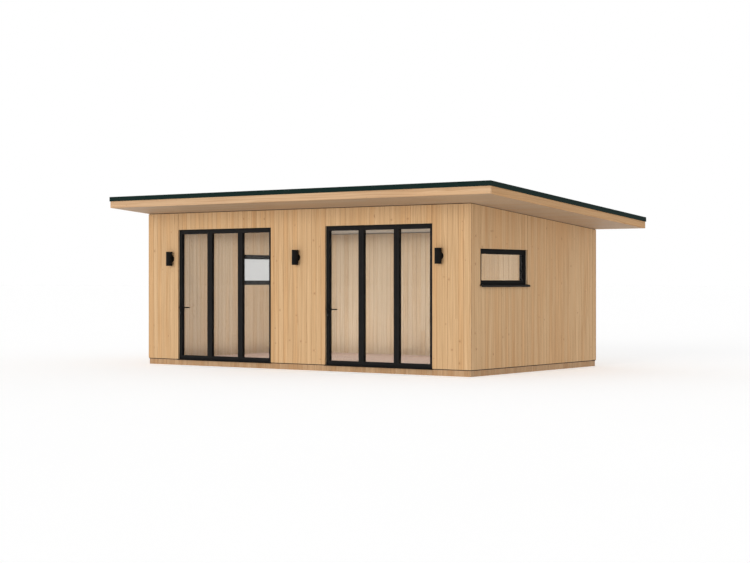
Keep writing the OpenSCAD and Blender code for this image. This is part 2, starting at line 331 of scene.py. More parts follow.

# %% [markdown]
# ## Timber
#
# Planed softwood has pale early wood and darker late wood in lines along the
# board, slow streaks, fine pores, and knots that the lines bend round. No two
# boards match, so every board carries a `grain` attribute: where a point is
# across and along its own board, and a number of its own. A pattern on world
# coordinates would run straight over the joints and look like wallpaper.
#
# The group gives a colour, a roughness and a height, and paints a highlight on
# the sharp edges beside each V, which also stands for worn finish. The Principled
# shader stays in each material, so one group serves cladding, floor and fascia.


# %% Timber group
def timber_group():
    nodes, given = new_group(
        "timber_figure", "ShaderNodeTree",
        {"Grain": VECTOR, "Tone": 0.5, "Groove": 0.0, "Pale": (0.6, 0.4, 0.2, 1),
         "Deep": (0.5, 0.3, 0.14, 1), "Knot": (0.2, 0.1, 0.05, 1), "Figure": 0.6,
         "Board Variety": 0.24, "Knot Cells": 2.6, "Line Pitch": 0.006, "Groove Shade": 0.6},
        {"Color": COLOR, "Roughness": FLOAT, "Height": FLOAT},
    )
    across, along, own = nodes.split(given["Grain"])
    shifted = own * 3.7
    cells, groove = given["Knot Cells"], given["Groove"]

    # knots: one in each wide cell, with its own size
    spread = nodes.vector(across * cells + shifted, along * cells, 0)
    cell = nodes.add("ShaderNodeTexVoronoi", {"Vector": spread, "Scale": 1.0}, voronoi_dimensions="2D")
    radius = nodes.split(nodes.value(cell, "Color"))[0] * 0.008 + 0.0035
    ratio = nodes.value(cell, "Distance") / cells / radius
    core, ring, bend = (1.0 - nodes.ramp(ratio, low, high)
                        for low, high in ((0.45, 1.2), (0.8, 3.2), (0.6, 4.5)))

    def lines(place, across_by, along_by, detail=2.0, roughness=0.5):
        """Noise drawn out along the board."""
        where = nodes.vector(place * across_by, along * along_by, shifted)
        return nodes.noise(where, 1.0, detail, roughness)

    # slow drift of the lines along the board, and their bend round a knot
    drift = lines(across, 7.0, 0.55)
    place = across + drift * 0.14 + bend * 0.012
    late = (place / given["Line Pitch"]).do("FRACT").do("POWER", 2.2)
    streak = lines(place, 42.0, 0.5, 3.0, 0.55)
    stripe = lines(place, 150.0, 0.9)
    fibre = lines(across, 1500.0, 22.0)

    # how deep the colour is: streaks, lines, fibres and the board's own tone
    depth = (streak - 0.5) * 2.2 + (stripe - 0.5) * 2.6 + (late - 0.35) * 0.42 + (fibre - 0.5) * 0.5
    own_tone = given["Tone"] - 0.5
    depth = depth * given["Figure"] + own_tone * given["Board Variety"]
    wood = nodes.mix(nodes.math("ADD", depth, 0.5, clamp=True), given["Pale"], given["Deep"])
    warmth = nodes.ramp(drift + own_tone * 0.5, 0.42, 0.72)
    wood = nodes.mix(warmth * 0.6, wood, (1.02, 0.93, 0.82, 1), "MULTIPLY")
    wood = nodes.mix(ring * 0.24, wood, given["Knot"])
    wood = nodes.mix(core * 0.5, wood, given["Knot"])
    # a painted highlight on the sharp edge where a V meets the face, which also stands for finish worn
    # off there by handling
    edge_highlight_and_wear = nodes.ramp(groove, 0.0, 0.1) - nodes.ramp(groove, 0.1, 0.35)
    highlight_and_bare_wood = nodes.mix(0.5, given["Pale"], (0.80, 0.66, 0.48, 1))
    wood = nodes.mix(edge_highlight_and_wear * 0.4, wood, highlight_and_bare_wood)
    nodes.add("NodeGroupOutput", {
        "Color": nodes.mix(groove * given["Groove Shade"], wood, (0.24, 0.115, 0.042, 1)),
        "Roughness": late * 0.10 + 0.52 + fibre * 0.12,
        "Height": late * 0.5 + fibre * 0.35 + core * -0.4,
    })
    return nodes.tree


TIMBER = timber_group()
print("timber group:", len(TIMBER.nodes), "nodes")

# %% Timber materials
BOARD_DATA = (("grain", "Vector"), ("tone", "Fac"), ("groove", "Fac"))


def surface(name, group, feeds, bump, depth, shader, data=()):
    """A finish whose colour, roughness and relief come from one group."""
    made, nodes = new_material(name)
    read = {word.title(): nodes.get("ShaderNodeAttribute", None, output, attribute_name=word)
            for word, output in data}
    look = nodes.add("ShaderNodeGroup", node_tree=group)
    for key, value in {**read, **feeds}.items():
        nodes.feed(look.inputs[key], value)
    relief = {"Strength": bump, "Distance": depth, "Height": nodes.value(look, "Height")}
    body = nodes.get("ShaderNodeBsdfPrincipled", {
        "Base Color": nodes.value(look, "Color"), "Roughness": nodes.value(look, "Roughness"),
        "Normal": nodes.get("ShaderNodeBump", relief), **shader,
    })
    nodes.add("ShaderNodeOutputMaterial", {"Surface": body})
    return made


def timber(name, pale, deep, knot, bump=0.25, coat=0.0, **feeds):
    """A timber finish from three colours and the group's own inputs."""
    feeds = {"Pale": (*pale, 1), "Deep": (*deep, 1), "Knot": (*knot, 1), **labelled(feeds)}
    shader = {"Specular IOR Level": 0.3, "Coat Weight": coat, "Coat Roughness": 0.25}
    return surface(name, TIMBER, feeds, bump, 0.0006, shader, BOARD_DATA)


LARCH_KNOT = (0.27, 0.115, 0.035)
CLADDING = timber("oiled_cladding", (0.665, 0.443, 0.24), (0.48, 0.288, 0.135), LARCH_KNOT,
                  figure=0.72, board_variety=0.2)
FASCIA = timber("oiled_fascia", (0.64, 0.425, 0.248), (0.465, 0.272, 0.14), LARCH_KNOT,
                figure=0.8, knot_cells=1.6)
# The right fascia gets a darker, deeper copy of the fascia finish: painted shade on that side of the
# roof.
SHADED_SIDE_FASCIA = timber("side_fascia_painted_shade", (0.585, 0.35, 0.165), (0.415, 0.22, 0.09), LARCH_KNOT,
                     figure=0.8, knot_cells=1.6)
SOFFIT = timber("planed_soffit", (0.44, 0.315, 0.205), (0.36, 0.25, 0.16), LARCH_KNOT,
                figure=0.45, board_variety=0.2, knot_cells=1.2)
LINING = timber("planed_lining", (0.66, 0.528, 0.37), (0.515, 0.40, 0.267), (0.34, 0.22, 0.12),
                figure=0.85, board_variety=0.4, groove_shade=0.55)
CEILING = timber("limed_ceiling", (0.505, 0.505, 0.47), (0.425, 0.42, 0.38), (0.32, 0.28, 0.22),
                 figure=0.3, board_variety=0.15, groove_shade=0.3)
FLOORING = timber("lacquered_floor", (0.67, 0.528, 0.485), (0.55, 0.413, 0.373), (0.35, 0.20, 0.15),
                  bump=0.12, coat=0.35, figure=0.55, board_variety=0.35, line_pitch=0.009)
SAWN = timber("sawn_carcassing", (0.58, 0.44, 0.29), (0.44, 0.31, 0.19), (0.22, 0.12, 0.06),
              bump=0.6, line_pitch=0.008)
PLINTH = timber("treated_plinth", (0.515, 0.33, 0.182), (0.355, 0.216, 0.11), (0.20, 0.11, 0.05),
                bump=0.4, board_variety=0.4)
STRAND = timber("strand_board", (0.60, 0.45, 0.28), (0.42, 0.28, 0.15), (0.25, 0.15, 0.08),
                bump=0.8, figure=1.0, line_pitch=0.03)
print("timber finishes:", [m.name for m in bpy.data.materials])

# %% [markdown]
# ## Metal, rubber and glass
#
# Frames, sills, lamps and the roof trim are aluminium with a dark powder
# coat: it is matt, with a fine orange-peel skin, a little dust and a few
# bright rubs. One group serves them all, and rubber and screws too.
#
# Each pane is clear with a faint tint. Light from the lamps passes straight
# through it, as it does through thin float glass, so the room behind is lit;
# everything else is refracted and reflected.


# %% Coated metal, rubber and glass
def skin_group():
    nodes, given = new_group(
        "powder_skin", "ShaderNodeTree",
        {"Color": (0.02, 0.02, 0.02, 1), "Roughness": 0.4, "Peel Size": 900.0, "Dust": 0.15},
        {"Color": COLOR, "Roughness": FLOAT, "Height": FLOAT},
    )
    where = nodes.get("ShaderNodeTexCoord", output="Object")
    peel = nodes.noise(where, given["Peel Size"])
    dusty = nodes.ramp(nodes.noise(where, 5.0, 5.0), 0.45, 0.75) * given["Dust"]
    scuff = nodes.ramp(nodes.noise(where, 55.0, 6.0, 0.7), 0.66, 0.74) * 0.1
    color = nodes.mix(dusty, given["Color"], (0.11, 0.105, 0.095, 1))
    color = nodes.mix(peel * 0.06, color, (0.06, 0.06, 0.06, 1))
    nodes.add("NodeGroupOutput", {
        "Color": nodes.mix(scuff, color, (0.12, 0.12, 0.12, 1)),
        "Roughness": peel * 0.12 + given["Roughness"] + dusty * 0.8 + scuff * -1.2,
        "Height": peel,
    })
    return nodes.tree


SKIN = skin_group()


def coated(name, color, roughness, bump=0.08, metallic=0.0, specular=0.5, **feeds):
    """A skinned finish: powder coat, anodised metal or rubber."""
    feeds = {"Color": (*color, 1), "Roughness": roughness, **labelled(feeds)}
    shader = {"Metallic": metallic, "Specular IOR Level": specular}
    return surface(name, SKIN, feeds, bump, 0.0003, shader)


def glass(name, tint, ior):
    """Clear float glass that lets the light of lamps straight through."""
    made, nodes = new_material(name)
    color = (*tint, 1)
    body = nodes.get("ShaderNodeBsdfPrincipled", {
        "Base Color": color, "Roughness": 0.0, "IOR": ior, "Transmission Weight": 1.0})
    clear = nodes.get("ShaderNodeBsdfTransparent", {"Color": color})
    shadow = nodes.get("ShaderNodeLightPath", output="Is Shadow Ray")
    nodes.add("ShaderNodeOutputMaterial", {"Surface": nodes.mix_shaders(shadow, body, clear)})
    return made


FRAME_COAT = coated("frame_powder_coat", (0.0065, 0.006, 0.006), 0.45, specular=0.12, dust=0.04)
# The window bars get a darker copy of the frame coat: painted shade, so the bars on the side walls come
# out darker than their light makes them.
SHADED_WINDOW_COAT = coated("window_coat_painted_shade", (0.003, 0.003, 0.003), 0.45, specular=0.04, dust=0.03)
BLACK_COAT = coated("black_powder_coat", (0.004, 0.0038, 0.0035), 0.4, specular=0.08, dust=0.03)
TRIM_COAT = coated("green_black_trim", (0.0055, 0.0175, 0.0145), 0.42, specular=0.03, dust=0.03)
RUBBER = coated("rubber_seal", (0.012, 0.012, 0.012), 0.7, bump=0.2, specular=0.3)
MEMBRANE = coated("roof_membrane", (0.032, 0.035, 0.035), 0.62, bump=0.5, specular=0.35,
                  dust=0.6, peel_size=220.0)
SPACER = coated("spacer_bar", (0.008, 0.008, 0.008), 0.6, specular=0.1)
STEEL = coated("steel_screw", (0.42, 0.41, 0.40), 0.32, metallic=1.0, dust=0.05)
OPAL = coated("opal_lens", (0.75, 0.74, 0.71), 0.45, bump=0.02, dust=0.05)
PANE = glass("float_glass", (0.918, 0.922, 0.924), ior=1.22)
SIDE_PANE = glass("side_window_glass", (0.892, 0.885, 0.873), ior=1.1)
print("finishes in all:", len(bpy.data.materials))

# %% [markdown]
# ## Boards laid side by side
#
# The pod is mostly boards: about ninety millimetres wide, tongued together,
# with a V at each joint. They could be modelled one by one or cut with an
# Array modifier, but the boards at a wall's ends and beside its doors are
# ripped narrower, and the side walls' boards are cut to the roof's slope.
#
# A Geometry Nodes tree does all of that. It counts the boards that cross a
# panel, makes each one from the same small section, clips it to the panel,
# and cuts its top to a line. It also writes the board's own grain and tone.
# A wall with a door is a few panels, so it is a few of these modifiers on one
# object, and each adds its panel to what came before.


# %% The section that every board starts from
def board_section():
    """One board from 0 to 1 in height, with its section as attributes."""
    # side: 0 left, 1 right; inset: 1 where the V's slope reaches the face;
    # front: 0 at the back, 1 at the face; drop: 1 at the foot of the V
    ring = [(0, 0, 0, 0), (1, 0, 0, 0), (1, 0, 1, 1), (1, 1, 1, 0), (0, 1, 1, 0), (0, 0, 1, 1)]
    count = len(ring)
    mesh = bpy.data.meshes.new("board_section")
    verts = [(side, inset + front, level) for level in (0, 1) for side, inset, front, drop in ring]
    faces = [tuple(reversed(range(count))), tuple(range(count, 2 * count))]
    faces += [(i, (i + 1) % count, count + (i + 1) % count, count + i) for i in range(count)]
    mesh.from_pydata(verts, [], faces)
    columns = {name: [point[place] for point in ring] * 2
               for place, name in enumerate(("side", "inset", "front", "drop"))}
    columns["level"] = [0] * count + [1] * count
    for name, values in columns.items():
        mesh.attributes.new(name, "FLOAT", "POINT").data.foreach_set("value", values)
    return new_object("board_section", mesh)


SECTION = board_section()
print("board section:", len(SECTION.data.vertices), "points")


# %% The tree that lays a panel of boards
def end_tree(nodes, made, given):
    """Joins a tree's work to what came before, and gives it its finish."""
    join = nodes.add("GeometryNodeJoinGeometry")
    nodes.feed(join.inputs[0], made)
    nodes.feed(join.inputs[0], given["Geometry"])
    real = nodes.get("GeometryNodeRealizeInstances", {"Geometry": nodes.value(join)})
    done = nodes.get("GeometryNodeSetMaterial", {"Geometry": real, "Material": given["Finish"]})
    nodes.add("NodeGroupOutput", {"Geometry": done})
    return nodes.tree


def boards_tree():
    nodes, given = new_group(
        "lay_boards", "GeometryNodeTree",
        {"Geometry": GEOMETRY, "Section": "NodeSocketObject", "Start": 0.0, "End": 1.0,
         "Bottom": 0.0, "Top": 1.0, "Top Slope": 0.0, "Pitch": 0.09, "Phase": 0.0,
         "Joint": 0.0006, "V Width": 0.004, "V Depth": 0.004, "Thickness": 0.02,
         "Piece Length": 100.0, "Seed": 0.0, "Origin": VECTOR, "Across": VECTOR,
         "Along": VECTOR, "Outward": VECTOR, "Finish": "NodeSocketMaterial"},
        {"Geometry": GEOMETRY},
    )
    start, end, bottom, top, slope, pitch, phase, length = (given[word] for word in (
        "Start", "End", "Bottom", "Top", "Top Slope", "Pitch", "Phase", "Piece Length"))

    def named(name):
        feeds = {"Name": name}
        return nodes.get("GeometryNodeInputNamedAttribute", feeds, "Attribute", data_type="FLOAT")

    def store(geometry, name, value, kind="FLOAT"):
        feeds = {"Geometry": geometry, "Name": name, "Value": value}
        return nodes.get("GeometryNodeStoreNamedAttribute", feeds, data_type=kind, domain="POINT")

    def chance(number):
        where = nodes.vector(row, number, given["Seed"])
        return nodes.get("ShaderNodeTexWhiteNoise", {"Vector": where}, "Value")

    # how many rows cross the panel, and how many pieces lie along each row
    low_row = ((start - phase) / pitch).do("FLOOR")
    high_row = ((end - phase) / pitch).do("CEIL")
    pieces = ((top - bottom) / length).do("CEIL") + 1.0
    points = nodes.get("GeometryNodeMeshLine", {"Count": (high_row - low_row) * pieces})

    # which row and piece a point stands for, and where that board is clipped
    index = nodes.get("GeometryNodeInputIndex")
    row = ((index + 0.5) / pieces).do("FLOOR")
    piece = index - row * pieces
    row = row + low_row
    half_joint = given["Joint"] * 0.5
    edge = row * pitch + phase
    left = edge.do("MAXIMUM", start) + half_joint
    right = (edge + pitch).do("MINIMUM", end) - half_joint
    foot = piece * length + (bottom - chance(0.5) * length)
    low = foot.do("MAXIMUM", bottom) + half_joint
    high = foot + length - half_joint
    shown_top = high.do("MINIMUM", left * slope + top)
    keep = (right - left).do("GREATER_THAN", 0.003) * (shown_top - low).do("GREATER_THAN", 0.01)
    kept = {"left": left, "right": right, "low": low, "high": high,
            "tone": chance(piece + 3.5), "own": chance(piece + 11.5) * 40.0}
    for name, value in kept.items():
        points = store(points, name, value)
    section = nodes.get("GeometryNodeObjectInfo", {"Object": given["Section"]}, "Geometry")
    placed = {"Points": points, "Selection": keep, "Instance": section}
    placed = nodes.get("GeometryNodeInstanceOnPoints", placed)
    real = nodes.get("GeometryNodeRealizeInstances", {"Geometry": placed})

    # each point of each board, across, along and out of the panel
    slope_in = named("inset") * given["V Width"]
    near_x, far_x = named("left") + slope_in, named("right") - slope_in
    x = named("side") * (far_x - near_x) + near_x
    z = named("level") * (named("high") - named("low")) + named("low")
    z = z.do("MINIMUM", x * slope + top)
    out_by = named("front") * given["Thickness"] - named("drop") * given["V Depth"]
    where = nodes.vmath("SCALE", given["Across"], x)
    for way, distance in (("Along", z), ("Outward", out_by)):
        where = nodes.vmath("ADD", where, nodes.vmath("SCALE", given[way], distance))
    where = nodes.vmath("ADD", where, given["Origin"])
    own = named("own")
    grain = nodes.vector(x - named("left") + own * 0.37, z + own * 1.3, own)
    real = store(real, "grain", grain, "FLOAT_VECTOR")
    real = store(real, "groove", named("drop") * named("front"))
    real = nodes.get("GeometryNodeSetPosition", {"Geometry": real, "Position": where})
    for name in ("side", "inset", "front", "drop", "level", "left", "right", "low", "high", "own"):
        real = nodes.get("GeometryNodeRemoveAttribute", {"Geometry": real, "Name": name})
    return end_tree(nodes, real, given)


BOARDS = boards_tree()
print("board tree:", len(BOARDS.nodes), "nodes")


# %% Small helpers that turn trees and lists of faces into pieces
def face_outwards(piece, merge=False):
    """Turns every closed shell outwards, and may merge points that coincide."""
    bm = bmesh.new()
    bm.from_mesh(piece.data)
    if merge:
        bmesh.ops.remove_doubles(bm, verts=bm.verts, dist=0.00001)
    bmesh.ops.recalc_face_normals(bm, faces=bm.faces)
    bm.to_mesh(piece.data)
    bm.free()


def finish_piece(piece, slot, replaced=(), smooth=False):
    """Shades a piece, gives it its body and hides the nodes it stands for; slot is not used."""
    piece.data.polygons.foreach_set("use_smooth", [smooth] * len(piece.data.polygons))
    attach(piece, "root")
    if replaced:
        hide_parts(*replaced)
    return piece


def new_piece(name, verts=(), faces=()):
    mesh = bpy.data.meshes.new(name)
    mesh.from_pydata([tuple(v) for v in verts], [], faces)
    return new_object(name, mesh)


def grow(name, tree, parts, shared):
    """A piece from one modifier for each part, settled to a plain mesh."""
    piece = new_piece(name)
    for count, part in enumerate(parts):
        modifier = piece.modifiers.new(f"part_{count}", "NODES")
        modifier.node_group = tree
        values = labelled({**shared, **part})
        for item in tree.interface.items_tree:
            if item.item_type == "SOCKET" and item.in_out == "INPUT" and item.name in values:
                modifier[item.identifier] = values[item.name]
    graph = bpy.context.evaluated_depsgraph_get()
    made = bpy.data.meshes.new_from_object(
        piece.evaluated_get(graph), preserve_all_data_layers=True, depsgraph=graph
    )
    old = piece.data
    piece.modifiers.clear()
    piece.data = made
    bpy.data.meshes.remove(old)
    return piece


def lay_boards(name, panels, slot, replaced=(), **shared):
    """One piece from several panels of boards."""
    piece = grow(name, BOARDS, panels, {"section": SECTION, **shared})
    face_outwards(piece)
    print(name, "-", len(panels), "panels,", len(piece.data.polygons) // 8, "boards")
    return finish_piece(piece, slot, replaced)


# %% [markdown]
# ## Cladding outside
#
# The cladding is one board grid round each wall, 91.2 mm from V to V. The
# grid doesn't restart at a door: a board that meets the door's edge is ripped
# to it, so the boards over a door line up with those beside it. The rear end
# of each side wall is closed by one wide board, as a carpenter does where the
# last whole board wouldn't meet the corner.

# %% Outer boards
BOARD_PITCH = 91.2 * MM
FRONT_PHASE = 24.6 * MM
RIGHT_PHASE = 4.6 * MM
CORNER_BOARD = 103 * MM
CORNER_GAP = 4.5 * MM
VENT_GAP = 8 * MM
OUTER = dict(pitch=BOARD_PITCH, thickness=CLAD_T, v_width=2.8 * MM, v_depth=3.2 * MM,
             joint=0.4 * MM, finish=CLADDING, along=UP)


def wall_panels(start, end, bottom, openings, top, slope=0.0):
    """Splits a wall into panels beside, over and under its openings."""
    made = []

    def add(low, high, foot, head=None):
        made.append(dict(start=low, end=high, bottom=foot, top=top if head is None else head,
                         top_slope=slope if head is None else 0.0))

    edge = start
    for low, high, sill, head in openings:
        add(edge, low, bottom)
        if sill > bottom:
            add(low, high, bottom, sill)
        add(low, high, head)
        edge = high
    add(edge, end, bottom)
    return made


door_gaps = []
for side in SIDES:
    low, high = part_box(f"{side}_door_frame")
    door_gaps.append((low.x - LEFT, high.x - LEFT, CLAD_Z, high.z))

for name, gaps, top_y, corner, outward, seed in (
    ("front", door_gaps, FRONT + CLAD_T, (LEFT, FRONT + CLAD_T, 0.0), -1.0, 1.0),
    ("rear", [], REAR, (RIGHT, REAR - CLAD_T, 0.0), 1.0, 2.0),
):
    lay_boards(
        f"{name}_cladding_boards",
        wall_panels(0.0, RIGHT - LEFT, CLAD_Z, gaps, soffit_z(top_y) - VENT_GAP),
        "cladding", [f"{name}_cladding"], seed=seed, phase=FRONT_PHASE, origin=corner,
        across=(-outward, 0.0, 0.0), outward=(0.0, outward, 0.0), **OUTER,
    )

for side, face_x, outward in (("left", LEFT + CLAD_T, -1.0), ("right", RIGHT - CLAD_T, 1.0)):
    low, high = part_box(f"{side}_window_frame")
    gap = (low.y - FRONT, high.y - FRONT, low.z, high.z)
    end = REAR - CLAD_T - FRONT
    top = soffit_z(FRONT) - VENT_GAP
    panels = wall_panels(CLAD_T, end - CORNER_BOARD, CLAD_Z, [gap], top, -FALL)
    corner = wall_panels(end - CORNER_BOARD, end, CLAD_Z, [], top, -FALL)
    corner[0].update(pitch=2 * CORNER_BOARD, phase=end - CORNER_BOARD,
                     joint=2 * CORNER_GAP, end=end + CORNER_GAP)
    lay_boards(
        f"{side}_cladding_boards", panels + corner, "cladding", [f"{side}_cladding"],
        seed=3.0 + outward, origin=(face_x, FRONT, 0.0), across=Y_AXIS,
        outward=(outward, 0.0, 0.0), phase=RIGHT_PHASE, **OUTER,
    )

# %% [markdown]
# ## Walls and lining
#
# Behind the cladding each wall is an insulated panel, in sheets 1.2 m wide,
# and its room side is lined with thinner boards. Both follow the same rule as
# the cladding, so the same tree lays them. The door and window openings are
# cut 12 mm wide of each frame, which leaves room for the boards of a reveal.

# %% Wall panels and lining boards
CORE_T = ROOM_FRONT - LINING_T - (FRONT + CLAD_T)
CORE = dict(pitch=1.2, thickness=CORE_T, v_width=1 * MM, v_depth=1 * MM, finish=STRAND, along=UP)
INNER = dict(pitch=BOARD_PITCH, thickness=LINING_T, v_width=2.6 * MM, v_depth=2.4 * MM,
             finish=LINING, along=UP)


def cleared(node, axis, sill=True):
    """An opening with the room for its reveal, along one wall."""
    low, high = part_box(node)
    foot = low.z - REVEAL_T if sill else FLOOR_Z
    return low[axis] - REVEAL_T, high[axis] + REVEAL_T, foot, high.z + REVEAL_T


def wall(name, axis, layers, plane, outward, gaps, replaced, seed, top_y, phases):
    """One wall's sheets and lining; axis is 0 across the pod, 1 along it."""
    for part, (start, end), given, lift, shift, phase in zip(
        ("panels", "lining"), layers, (CORE, INNER), (outward * CORE_T, 0.0), (0.0, 0.5), phases
    ):
        moved = [(a - start, b - start, low, high) for a, b, low, high in gaps]
        top = soffit_z(start if axis else top_y)
        across, out = [0.0, 0.0, 0.0], [0.0, 0.0, 0.0]
        across[axis], out[1 - axis] = 1.0, outward
        origin = [0.0, 0.0, 0.0]
        origin[axis], origin[1 - axis] = start, plane - lift
        lay_boards(
            f"{name}_wall_{part}",
            wall_panels(0.0, end - start, FLOOR_Z, moved, top, -FALL if axis else 0.0),
            "wall_lining", replaced if part == "panels" else (), seed=seed + shift, phase=phase,
            origin=tuple(origin), across=tuple(across), outward=tuple(out), **given,
        )


wide = ((LEFT + CLAD_T, RIGHT - CLAD_T), (ROOM_LEFT - LINING_T, ROOM_RIGHT + LINING_T))
deep = ((ROOM_FRONT - LINING_T, ROOM_REAR + LINING_T), (ROOM_FRONT, ROOM_REAR))
FRONT_NODES = [f"front_wall_{part}" for part in ("left", "centre", "right", "header")]
front_plane = ROOM_FRONT - LINING_T
door_openings = [cleared(f"{side}_door_frame", 0, sill=False) for side in SIDES]
wall("front", 0, wide, front_plane, 1.0, door_openings, FRONT_NODES, 11.0, front_plane, (0.0, 0.02))
wall("rear", 0, wide, ROOM_REAR + LINING_T, -1.0, [], ["rear_wall"], 12.0, REAR, (0.0, 0.02))
for side, plane, outward, seed in (
    ("left", ROOM_LEFT - LINING_T, 1.0, 13.0), ("right", ROOM_RIGHT + LINING_T, -1.0, 14.0)
):
    wall(side, 1, deep, plane, outward, [cleared(f"{side}_window_frame", 1)], [f"{side}_wall"],
         seed, None, (0.03, 0.03))

# %% [markdown]
# ## Solids from a section
#
# What isn't a board is a section carried along a line: a mitred frame, a
# folded sill, a turned lamp, a bent lever. One small class collects such
# solids into a mesh. It joins equal sections ring after ring and closes the
# ends, so every solid is watertight, and small chamfers belong to the section
# itself. Cutting them out of blocks with booleans would cost more faces.

# %% The class that collects solids
MITRE_GAP = 0.4 * MM


class Solids:
    """Closed solids in one mesh, each with its finish and its grain."""

    def __init__(self):
        self.points, self.faces, self.finish = [], [], []
        self.grain, self.tone = [], []

    def sweep(self, sections, finish=0, grain=None, tone=0.5, closed=False):
        """Joins equal sections in order and closes the first and last."""
        base, count, rings = len(self.points), len(sections[0]), len(sections)
        for ring in range(rings if closed else rings - 1):
            here, there = base + ring * count, base + (ring + 1) % rings * count
            for i in range(count):
                j = (i + 1) % count
                self.faces.append((here + i, here + j, there + j, there + i))
        if not closed:
            last = base + (rings - 1) * count
            self.faces.append(tuple(base + i for i in reversed(range(count))))
            self.faces.append(tuple(last + i for i in range(count)))
        self.finish += [finish] * (len(self.faces) - len(self.finish))
        for number, section in enumerate(sections):
            for i, point in enumerate(section):
                self.points.append(tuple(point))
                self.grain.append(grain[number][i] if grain else (0.0, 0.0, 0.0))
                self.tone.append(tone)

    def straight(self, section, start, end, place, finish=0, own=0.0, tone=0.5):
        """A straight bar of a section, from start to end along a line."""
        ends = [[place(a, b, t) for a, b in section] for t in (start, end)]
        grain = [[(a + b + own, t, own) for a, b in section] for t in (start, end)]
        self.sweep(ends, finish, grain, tone)

    def ring(self, rect, section, place, finish=0, foot=True, scale=(1.0, 1.0, 1.0), own=0.0):
        """Four mitred bars round a rectangle; scale is jamb, foot, head."""
        u0, v0, u1, v1 = rect
        jamb, low, high = scale
        low = low if foot else 0.0
        corners = ((u0, v0, jamb, low), (u1, v0, -jamb, low),
                   (u1, v1, -jamb, -high), (u0, v1, jamb, -high))
        ways = ((1, 0), (0, 1), (-1, 0), (0, -1))
        for side in range(0 if foot else 1, 4):
            ends, grain = [], []
            for end, corner in enumerate((corners[side], corners[(side + 1) % 4])):
                shift = MITRE_GAP * (0.5 - end)
                u, v, in_u, in_v = corner
                u, v = u + ways[side][0] * shift, v + ways[side][1] * shift
                line = [(u + w * in_u, v + w * in_v, d) for w, d in section]
                ends.append([place(*point) for point in line])
                number = own + 2.3 * side
                grain.append([(w + d + number, point[side % 2], number)
                              for (w, d), point in zip(section, line)])
            self.sweep(ends, finish, grain, 0.35 + 0.1 * side)

    def turned(self, profile, sides, place, finish=0):
        """A turned solid; its profile starts and ends on the axis or closes."""
        turns = [2 * math.pi * step / sides for step in range(sides)]
        self.sweep([[place(r * math.cos(turn), r * math.sin(turn), h) for r, h in profile]
                    for turn in turns], finish, closed=True)

    def loose(self, name, sharp=32):
        """The solids as one merged mesh with smooth curves and sharp edges."""
        made = new_piece(name, self.points, self.faces)
        face_outwards(made, merge=True)
        made.data.polygons.foreach_set("use_smooth", [True] * len(made.data.polygons))
        made.data.set_sharp_from_angle(angle=math.radians(sharp))
        return made

    def piece(self, name, finishes, slot, replaced=(), sharp=32, timbered=False):
        made = new_piece(name, self.points, self.faces)
        mesh = made.data
        for finish in finishes:
            mesh.materials.append(finish)
        mesh.polygons.foreach_set("material_index", self.finish)
        if timbered:
            flat = [value for point in self.grain for value in point]
            mesh.attributes.new("grain", "FLOAT_VECTOR", "POINT").data.foreach_set("vector", flat)
            mesh.attributes.new("tone", "FLOAT", "POINT").data.foreach_set("value", self.tone)
            mesh.attributes.new("groove", "FLOAT", "POINT")
        face_outwards(made, merge=True)
        finish_piece(made, slot, replaced, smooth=True)
        mesh.set_sharp_from_angle(angle=math.radians(sharp))
        print(name, "-", len(mesh.polygons), "faces")
        return made


def chamfered(low_a, low_b, high_a, high_b, edge):
    """A rectangle's outline with its four corners cut."""
    return [
        (low_a + edge, low_b), (high_a - edge, low_b), (high_a, low_b + edge),
        (high_a, high_b - edge), (high_a - edge, high_b), (low_a + edge, high_b),
        (low_a, high_b - edge), (low_a, low_b + edge),
    ]


def on_front(u, v, depth):
    """A point of the front wall: along x, up, and in from the cladding's face."""
    return (u, FRONT + depth, v)


def on_left(u, v, depth):
    return (LEFT + depth, u, v)


def on_right(u, v, depth):
    return (RIGHT - depth, u, v)


def in_plan(u, v, height):
    return (u, v, height)


def on_roof(u, v, height):
    """A point of the roof: its height is over the soffit's underside."""
    return (u, v, soffit_z(v) + height)


print("section tools ready")

# %% [markdown]
# ## Base and floor
#
# The pod stands on a ring of timber with joists across it. Short upright
# boards hide the ring, set back under the cladding, so that a thin shadow line
# parts the two. A black mesh closes the air gap there and under the soffit.
# The floor boards run along the room, their end joints staggered.

# %% Plinth, joists, vents and floor boards
PLINTH_T = 20 * MM
BEAM_W = 45 * MM
JOISTS = 10
base_low, base_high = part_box("base_frame")
ring_rect = (base_low.x + PLINTH_T, base_low.y + PLINTH_T,
             base_high.x - PLINTH_T, base_high.y - PLINTH_T)

base = Solids()
base.ring(ring_rect, chamfered(0, 0, BEAM_W, base_high.z, 2 * MM), in_plan, own=5.0)
joist_step = (ring_rect[2] - ring_rect[0] - 2 * BEAM_W) / (JOISTS + 1)
for number in range(JOISTS):
    middle = ring_rect[0] + BEAM_W + joist_step * (number + 1)
    joist = chamfered(middle - BEAM_W / 2, 0, middle + BEAM_W / 2, base_high.z, 2 * MM)
    base.straight(joist, ring_rect[1] + BEAM_W, ring_rect[3] - BEAM_W,
                  lambda a, b, t: (a, t, b), own=9.0 + number)
base.piece("base_timbers", [SAWN], "base_timber", ["base_frame"], timbered=True)

